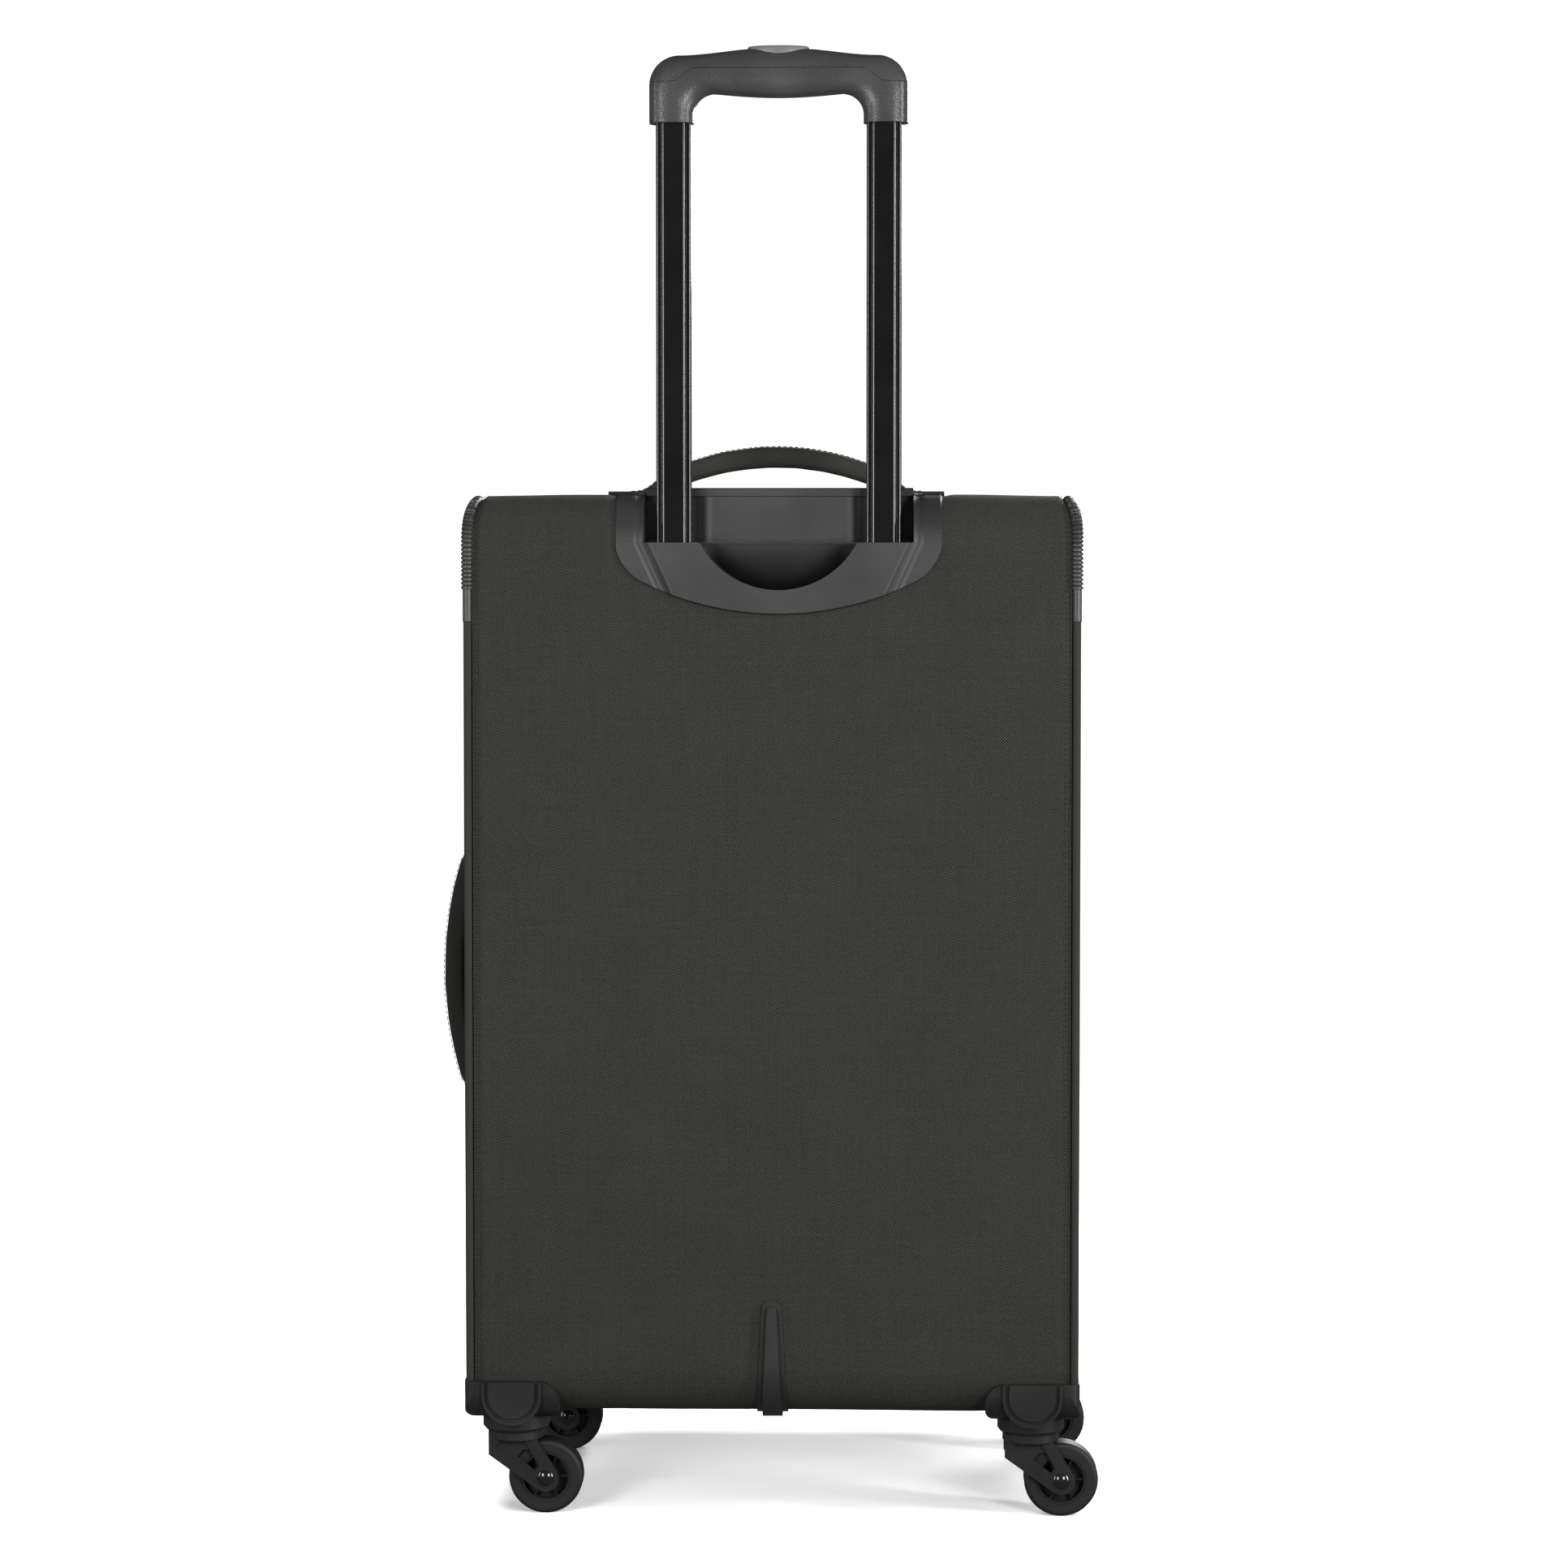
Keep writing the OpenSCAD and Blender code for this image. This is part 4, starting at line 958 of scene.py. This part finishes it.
def lid_fabric():
    centre = MID_X, OPEN_Z
    field = rounded_field(centre, OPEN_W - ZIP_W, OPEN_H - ZIP_W, (LID_R - ZIP_W,) * 2, 5 * MM, 10 * MM)
    rows = [[(u, FRONT - 1 * MM + 1.3 * MM * smooth(rim / (4 * MM)) + 0.6 * MM * wobble(u, v, 3, 70 * MM), v)
             for u, v, rim in row] for row in field]
    made = grid("lid_cloth", rows, SHELL, "lid")
    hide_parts("lid_panel")
    welt = [{"at": tuple(p), "up": Vector((0, 1, 0))} for p in loop(ZIP_W + 1.2 * MM, FRONT)[:-1]]
    sweep("lid_welt", welt, lambda i, t: circle(1.9 * MM, 10), TRIM, "lid", closed=True)
    rows = []
    for z in np.arange(-1, 1.001, 0.05) * (OPEN_H - LID_R - 1 * MM) + OPEN_Z:
        rows.append([(MID_X + OPEN_W + x * MM, FRONT - y * MM, z)
                     for x, y in ((4, 0.2), (1, 0.6), (-0.75, 1.4), (-3, 0.6), (-8, 0.4), (-14, 0.2))])
    hinge = grid("lid_hinge_cloth", rows, SHELL, None)
    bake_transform(hinge)


def pocket(node, slit_drop):
    """A padded pocket, blown up by a short cloth simulation with its back and zipper line held."""
    lo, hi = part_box(node)
    slit_z = hi.z - slit_drop
    slit_half = (high("pocket_zippers").x - low("pocket_zippers").x) / 2
    centre = (lo.x + hi.x) / 2, (lo.z + hi.z) / 2
    start = 1.5 * MM
    corner_r = 30 * MM
    rows = []
    loops = [(0, lo.y + 0.2 * MM), (0, hi.y - 10 * MM), (1.5 * MM, hi.y - 5 * MM), (5 * MM, hi.y - 1.5 * MM),
             (10 * MM, hi.y - 0.5 * MM)]
    for inset, y in loops:
        half_w, half_h = (hi.x - lo.x) / 2 - start - inset, (hi.z - lo.z) / 2 - start - inset
        rows.append([(x, y, z) for x, z in rounded_line(centre, half_w, half_h, corner_r - inset, 12, 1)])
    made = grid(f"{node}_cloth", rows, SHELL, None)
    cap_ends(made)
    remesh = made.modifiers.new("remesh", "REMESH")
    remesh.mode = "VOXEL"
    remesh.voxel_size = 5 * MM
    apply_modifiers(made)
    blow_up(made, lo, hi, slit_z, slit_half)
    finer = made.modifiers.new("finer", "SUBSURF")
    finer.levels = finer.render_levels = 1
    apply_modifiers(made)
    lay_weave(made)
    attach(made, "lid")
    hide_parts(node)
    pocket_trim(node, centre, lo, hi, slit_z, slit_half)


def apply_modifiers(made):
    bpy.context.view_layer.update()
    graph = bpy.context.evaluated_depsgraph_get()
    made.data = bpy.data.meshes.new_from_object(made.evaluated_get(graph))
    made.modifiers.clear()
    made.data.shade_smooth()


def blow_up(made, lo, hi, slit_z, slit_half):
    rest = [v.co.copy() for v in made.data.vertices]
    held = made.vertex_groups.new(name="held")
    for v in made.data.vertices:
        at_back = v.co.y < lo.y + 5 * MM
        x, z = abs(v.co.x - (lo.x + hi.x) / 2), abs(v.co.z - slit_z)
        at_slit = v.co.y > hi.y - 6 * MM and z < 11 * MM and x < slit_half + 4 * MM
        if at_back or at_slit:
            held.add([v.index], 1.0, "REPLACE")
    soft = made.modifiers.new("cloth", "CLOTH")
    soft.settings.quality = 5
    soft.settings.mass = 0.3
    soft.settings.tension_stiffness = 40
    soft.settings.bending_stiffness = 2
    soft.settings.use_pressure = True
    soft.settings.uniform_pressure_force = 4
    soft.settings.shrink_min = -0.02
    soft.settings.vertex_group_mass = "held"
    soft.settings.effector_weights.gravity = 0
    soft.collision_settings.use_self_collision = False
    scene = bpy.context.scene
    for step in range(1, 21):
        scene.frame_set(step)
    graph = bpy.context.evaluated_depsgraph_get()
    blown = bpy.data.meshes.new_from_object(made.evaluated_get(graph))
    most = 5 * MM
    for v, start in zip(blown.vertices, rest):
        move = v.co - start
        if move.length > most:
            v.co = start + move * (most / move.length)
    made.modifiers.clear()
    made.data = blown
    scene.frame_set(1)
    made.data.shade_smooth()


def lay_weave(made):
    """Weave lengths for a remeshed piece that faces the front."""
    threads = made.data.attributes.get("weave") or made.data.attributes.new("weave", "FLOAT_VECTOR", "POINT")
    for v in made.data.vertices:
        threads.data[v.index].vector = (v.co.x + v.co.y * 0.5, v.co.z + v.co.y * 0.5, 0.0)


def pocket_trim(node, centre, lo, hi, slit_z, slit_half):
    """The pocket's zipper and the welts beside it."""
    y = hi.y - 0.4 * MM
    across = np.linspace(-1, 1, 40) * slit_half
    rows = [[(centre[0] + x, y, slit_z + z * MM) for x in across] for z in (-6.5, -3, 0, 3, 6.5)]
    tape = grid(f"{node}_zip_tape", rows, TAPE, "lid")
    if node == "lower_pocket":
        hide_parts("pocket_zippers")
    teeth = []
    for x in np.arange(-slit_half + 3 * MM, slit_half - 3 * MM, 1.9 * MM):
        for sign in (-1, 1):
            offset = 0.95 * MM if sign > 0 else 0.0
            at = Vector((centre[0] + x + offset, y + 0.3 * MM, slit_z + sign * 1.2 * MM))
            teeth.append(capsule(at, Vector((0, 0, 1)), Vector((0, 1, 0)), 2.8 * MM, 1.2 * MM, 1.4 * MM))
    joined(f"{node}_zip_teeth", teeth, TOOTH, "lid")
    for name, side in (("upper", 1), ("lower", -1)):
        path = [{"at": (centre[0] + s * (slit_half + 3 * MM), y + 0.6 * MM, slit_z + side * 7.6 * MM),
                 "up": Vector((0, 1, 0))} for s in np.linspace(-1, 1, 30)]
        welt = block(2.6 * MM, 2.0 * MM, 0.7, 12)
        made = sweep(f"{node}_zip_welt_{name}", path, lambda i, t: welt, TRIM, "lid")


def linings():
    """Thin cloth inside the case and behind the lid."""
    lo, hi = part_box("lining")
    rows = []
    inset = 0.5 * MM
    corner_r = 14 * MM
    cx, cz = (lo.x + hi.x) / 2, (lo.z + hi.z) / 2
    half_w, half_h = (hi.x - lo.x) / 2 - inset, (hi.z - lo.z) / 2 - inset
    straight_ys = np.linspace(hi.y - 16 * MM, lo.y + 8 * MM, 24)
    stations = [(hi.y - 2 * MM, 4 * MM), (hi.y - 8 * MM, 1 * MM), *((y, 0) for y in straight_ys),
                (lo.y + 3 * MM, 2 * MM), (lo.y + 1 * MM, 6 * MM)]
    for y, shrink in stations:
        row = []
        for x, z in rounded_line((0, 0), half_w - shrink, half_h - shrink, corner_r, 6, 30):
            sag = 1 - 0.006 * (1 + wobble(x, y, z, 40 * MM))
            row.append((cx + x * sag, y, cz + z * sag))
        rows.append(row)
    wall = grid("lining_walls", rows, LINING, "case")
    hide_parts("lining")

    def slack(u, v, seed, share):
        return 1.2 * MM * (1 + wobble(u, v, seed, 50 * MM)) * smooth(share)

    field = rounded_field((cx, cz), half_w - 4 * MM, half_h - 4 * MM, (corner_r,) * 2, 8 * MM, 12 * MM)
    back_y = lo.y + 0.6 * MM
    rows = [[(u, back_y + slack(u, v, 1, rim / (9 * MM)), v) for u, v, rim in row] for row in field]
    back = grid("lining_back", rows, LINING, "case")
    lo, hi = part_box("lid_lining")
    field = rounded_field(((lo.x + hi.x) / 2, (lo.z + hi.z) / 2), (hi.x - lo.x) / 2, (hi.z - lo.z) / 2,
                          (LID_R - ZIP_W - 4 * MM,) * 2, 8 * MM, 12 * MM)
    rows = [[(u, hi.y - slack(u, v, 8, rim / (12 * MM)), v) for u, v, rim in row] for row in field]
    lid = grid("lid_lining_cloth", rows, LINING, "lid")
    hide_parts("lid_lining")


# ---- Skid ----


def skid_stitches():
    lo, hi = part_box("bottom_skid")
    x = (lo.x + hi.x) / 2
    for side, sign in (("left", -1), ("right", 1)):
        points = []
        for t in np.linspace(0, 1, 20):
            z = mix(LOW + REAR_R, hi.z - 7 * MM, t)
            points.append(Vector((x + sign * mix(7.8, 4.8, t) * MM, lo.y + 2.8 * MM, z)))
        made = stitches(f"skid_stitches_{side}", points, Vector((0, -1, 0)), THREAD, "case", 3.4 * MM)


# ---- Studio ----


def area_light(name, at, look_at, width, height, power, only=None):
    """A softbox. only is a collection that it lights, in place of everything."""
    data = bpy.data.lights.new(name, "AREA")
    data.shape = "RECTANGLE"
    data.size, data.size_y, data.energy = width, height, power
    lamp = bpy.data.objects.new(name, data)
    bpy.context.scene.collection.objects.link(lamp)
    lamp.location = at
    lamp.rotation_euler = (Vector(look_at) - Vector(at)).to_track_quat("-Z", "Y").to_euler()
    if only:
        lamp.light_linking.receiver_collection = only


def studio_floor():
    """White and lit near the case, and plainly glowing far from it, so it has no edge."""
    s = Shader("studio floor", Roughness=0.9)
    far = s.node("ShaderNodeVectorMath", {"operation": "LENGTH"}, i0=s.place()).outputs["Value"]
    away = s.node("ShaderNodeMapRange", {"interpolation_type": "SMOOTHSTEP"}, i0=far, i1=0.7, i2=2.2).outputs[0]
    s.put(s.ramp(away, [(0.0, (0.85, 0.85, 0.85)), (1.0, (0.0, 0.0, 0.0))]), s.surface.inputs["Base Color"])
    glow = s.node("ShaderNodeMapRange", None, i0=away, i3=0.12, i4=1.1).outputs[0]
    s.put(glow, s.surface.inputs["Emission Strength"])
    s.surface.inputs["Emission Color"].default_value = (1, 1, 1, 1)
    s.surface.inputs["Specular IOR Level"].default_value = 0.0
    corners = [(-20, -20, 0), (20, -20, 0), (20, 20, 0), (-20, 20, 0)]
    floor = piece("studio_floor", corners, [(0, 1, 2, 3)], s.material, None)
    floor.visible_diffuse = False
    floor.visible_glossy = False
    return floor


def studio():
    """Dim surroundings that look white, with softboxes and narrow strips beside the camera.

    A wide lamp overhead lights the floor alone.
    """
    floor = studio_floor()
    ground = bpy.data.collections.new("ground")
    ground.objects.link(floor)
    world = bpy.data.worlds.new("studio")
    bpy.context.scene.world = world
    world.use_nodes = True
    tree = world.node_tree
    light, seen = tree.nodes["Background"], tree.nodes.new("ShaderNodeBackground")
    light.inputs["Color"].default_value, light.inputs["Strength"].default_value = (1, 1, 1, 1), 0.1
    seen.inputs["Color"].default_value, seen.inputs["Strength"].default_value = (1, 1, 1, 1), 1.1
    path, either = tree.nodes.new("ShaderNodeLightPath"), tree.nodes.new("ShaderNodeMixShader")
    tree.links.new(path.outputs["Is Camera Ray"], either.inputs[0])
    tree.links.new(light.outputs[0], either.inputs[1])
    tree.links.new(seen.outputs[0], either.inputs[2])
    tree.links.new(either.outputs[0], tree.nodes["World Output"].inputs["Surface"])
    centre = (MID_X, 0, 0.55)
    area_light("left softbox", (-0.8, -1.45, 0.75), centre, 0.45, 0.7, 12)
    area_light("right softbox", (0.85, -1.45, 0.75), centre, 0.45, 0.7, 15)
    area_light("left strip", (-2.0, -0.9, 0.8), (MID_X, BACK, 0.6), 0.14, 1.4, 9)
    area_light("right strip", (2.0, -0.9, 0.8), (MID_X, BACK, 0.6), 0.14, 1.4, 26)
    area_light("front softbox", (0.9, 2.6, 1.6), centre, 1.2, 1.2, 90)
    area_light("overhead", (0, -0.3, 2.6), (0, -0.1, 0), 2.2, 1.6, 240, ground)
    bpy.context.scene.view_settings.view_transform = "Standard"


def camera():
    data = bpy.data.cameras.new("camera")
    made = bpy.data.objects.new("camera", data)
    bpy.context.scene.collection.objects.link(made)
    bpy.context.scene.camera = made
    data.sensor_width = 36.0
    data.lens = 36.0 * 4711 / 1932
    data.shift_y = -0.05
    made.location = (0.0796, -2.667, 0.660)
    yaw, pitch = -0.0258, -0.0442
    made.rotation_euler = (math.pi / 2 + pitch, 0, -yaw)


dress_frame()
wrap_fabric()
side_fabric()
edge_piping()
corner_guards()
bezel_moulding()
grip()
button()
carry_handles()
border_fabric()
zippers()
lid_fabric()
pocket("lower_pocket", 35 * MM)
pocket("upper_pocket", 35 * MM)
linings()
skid_stitches()
studio()
camera()
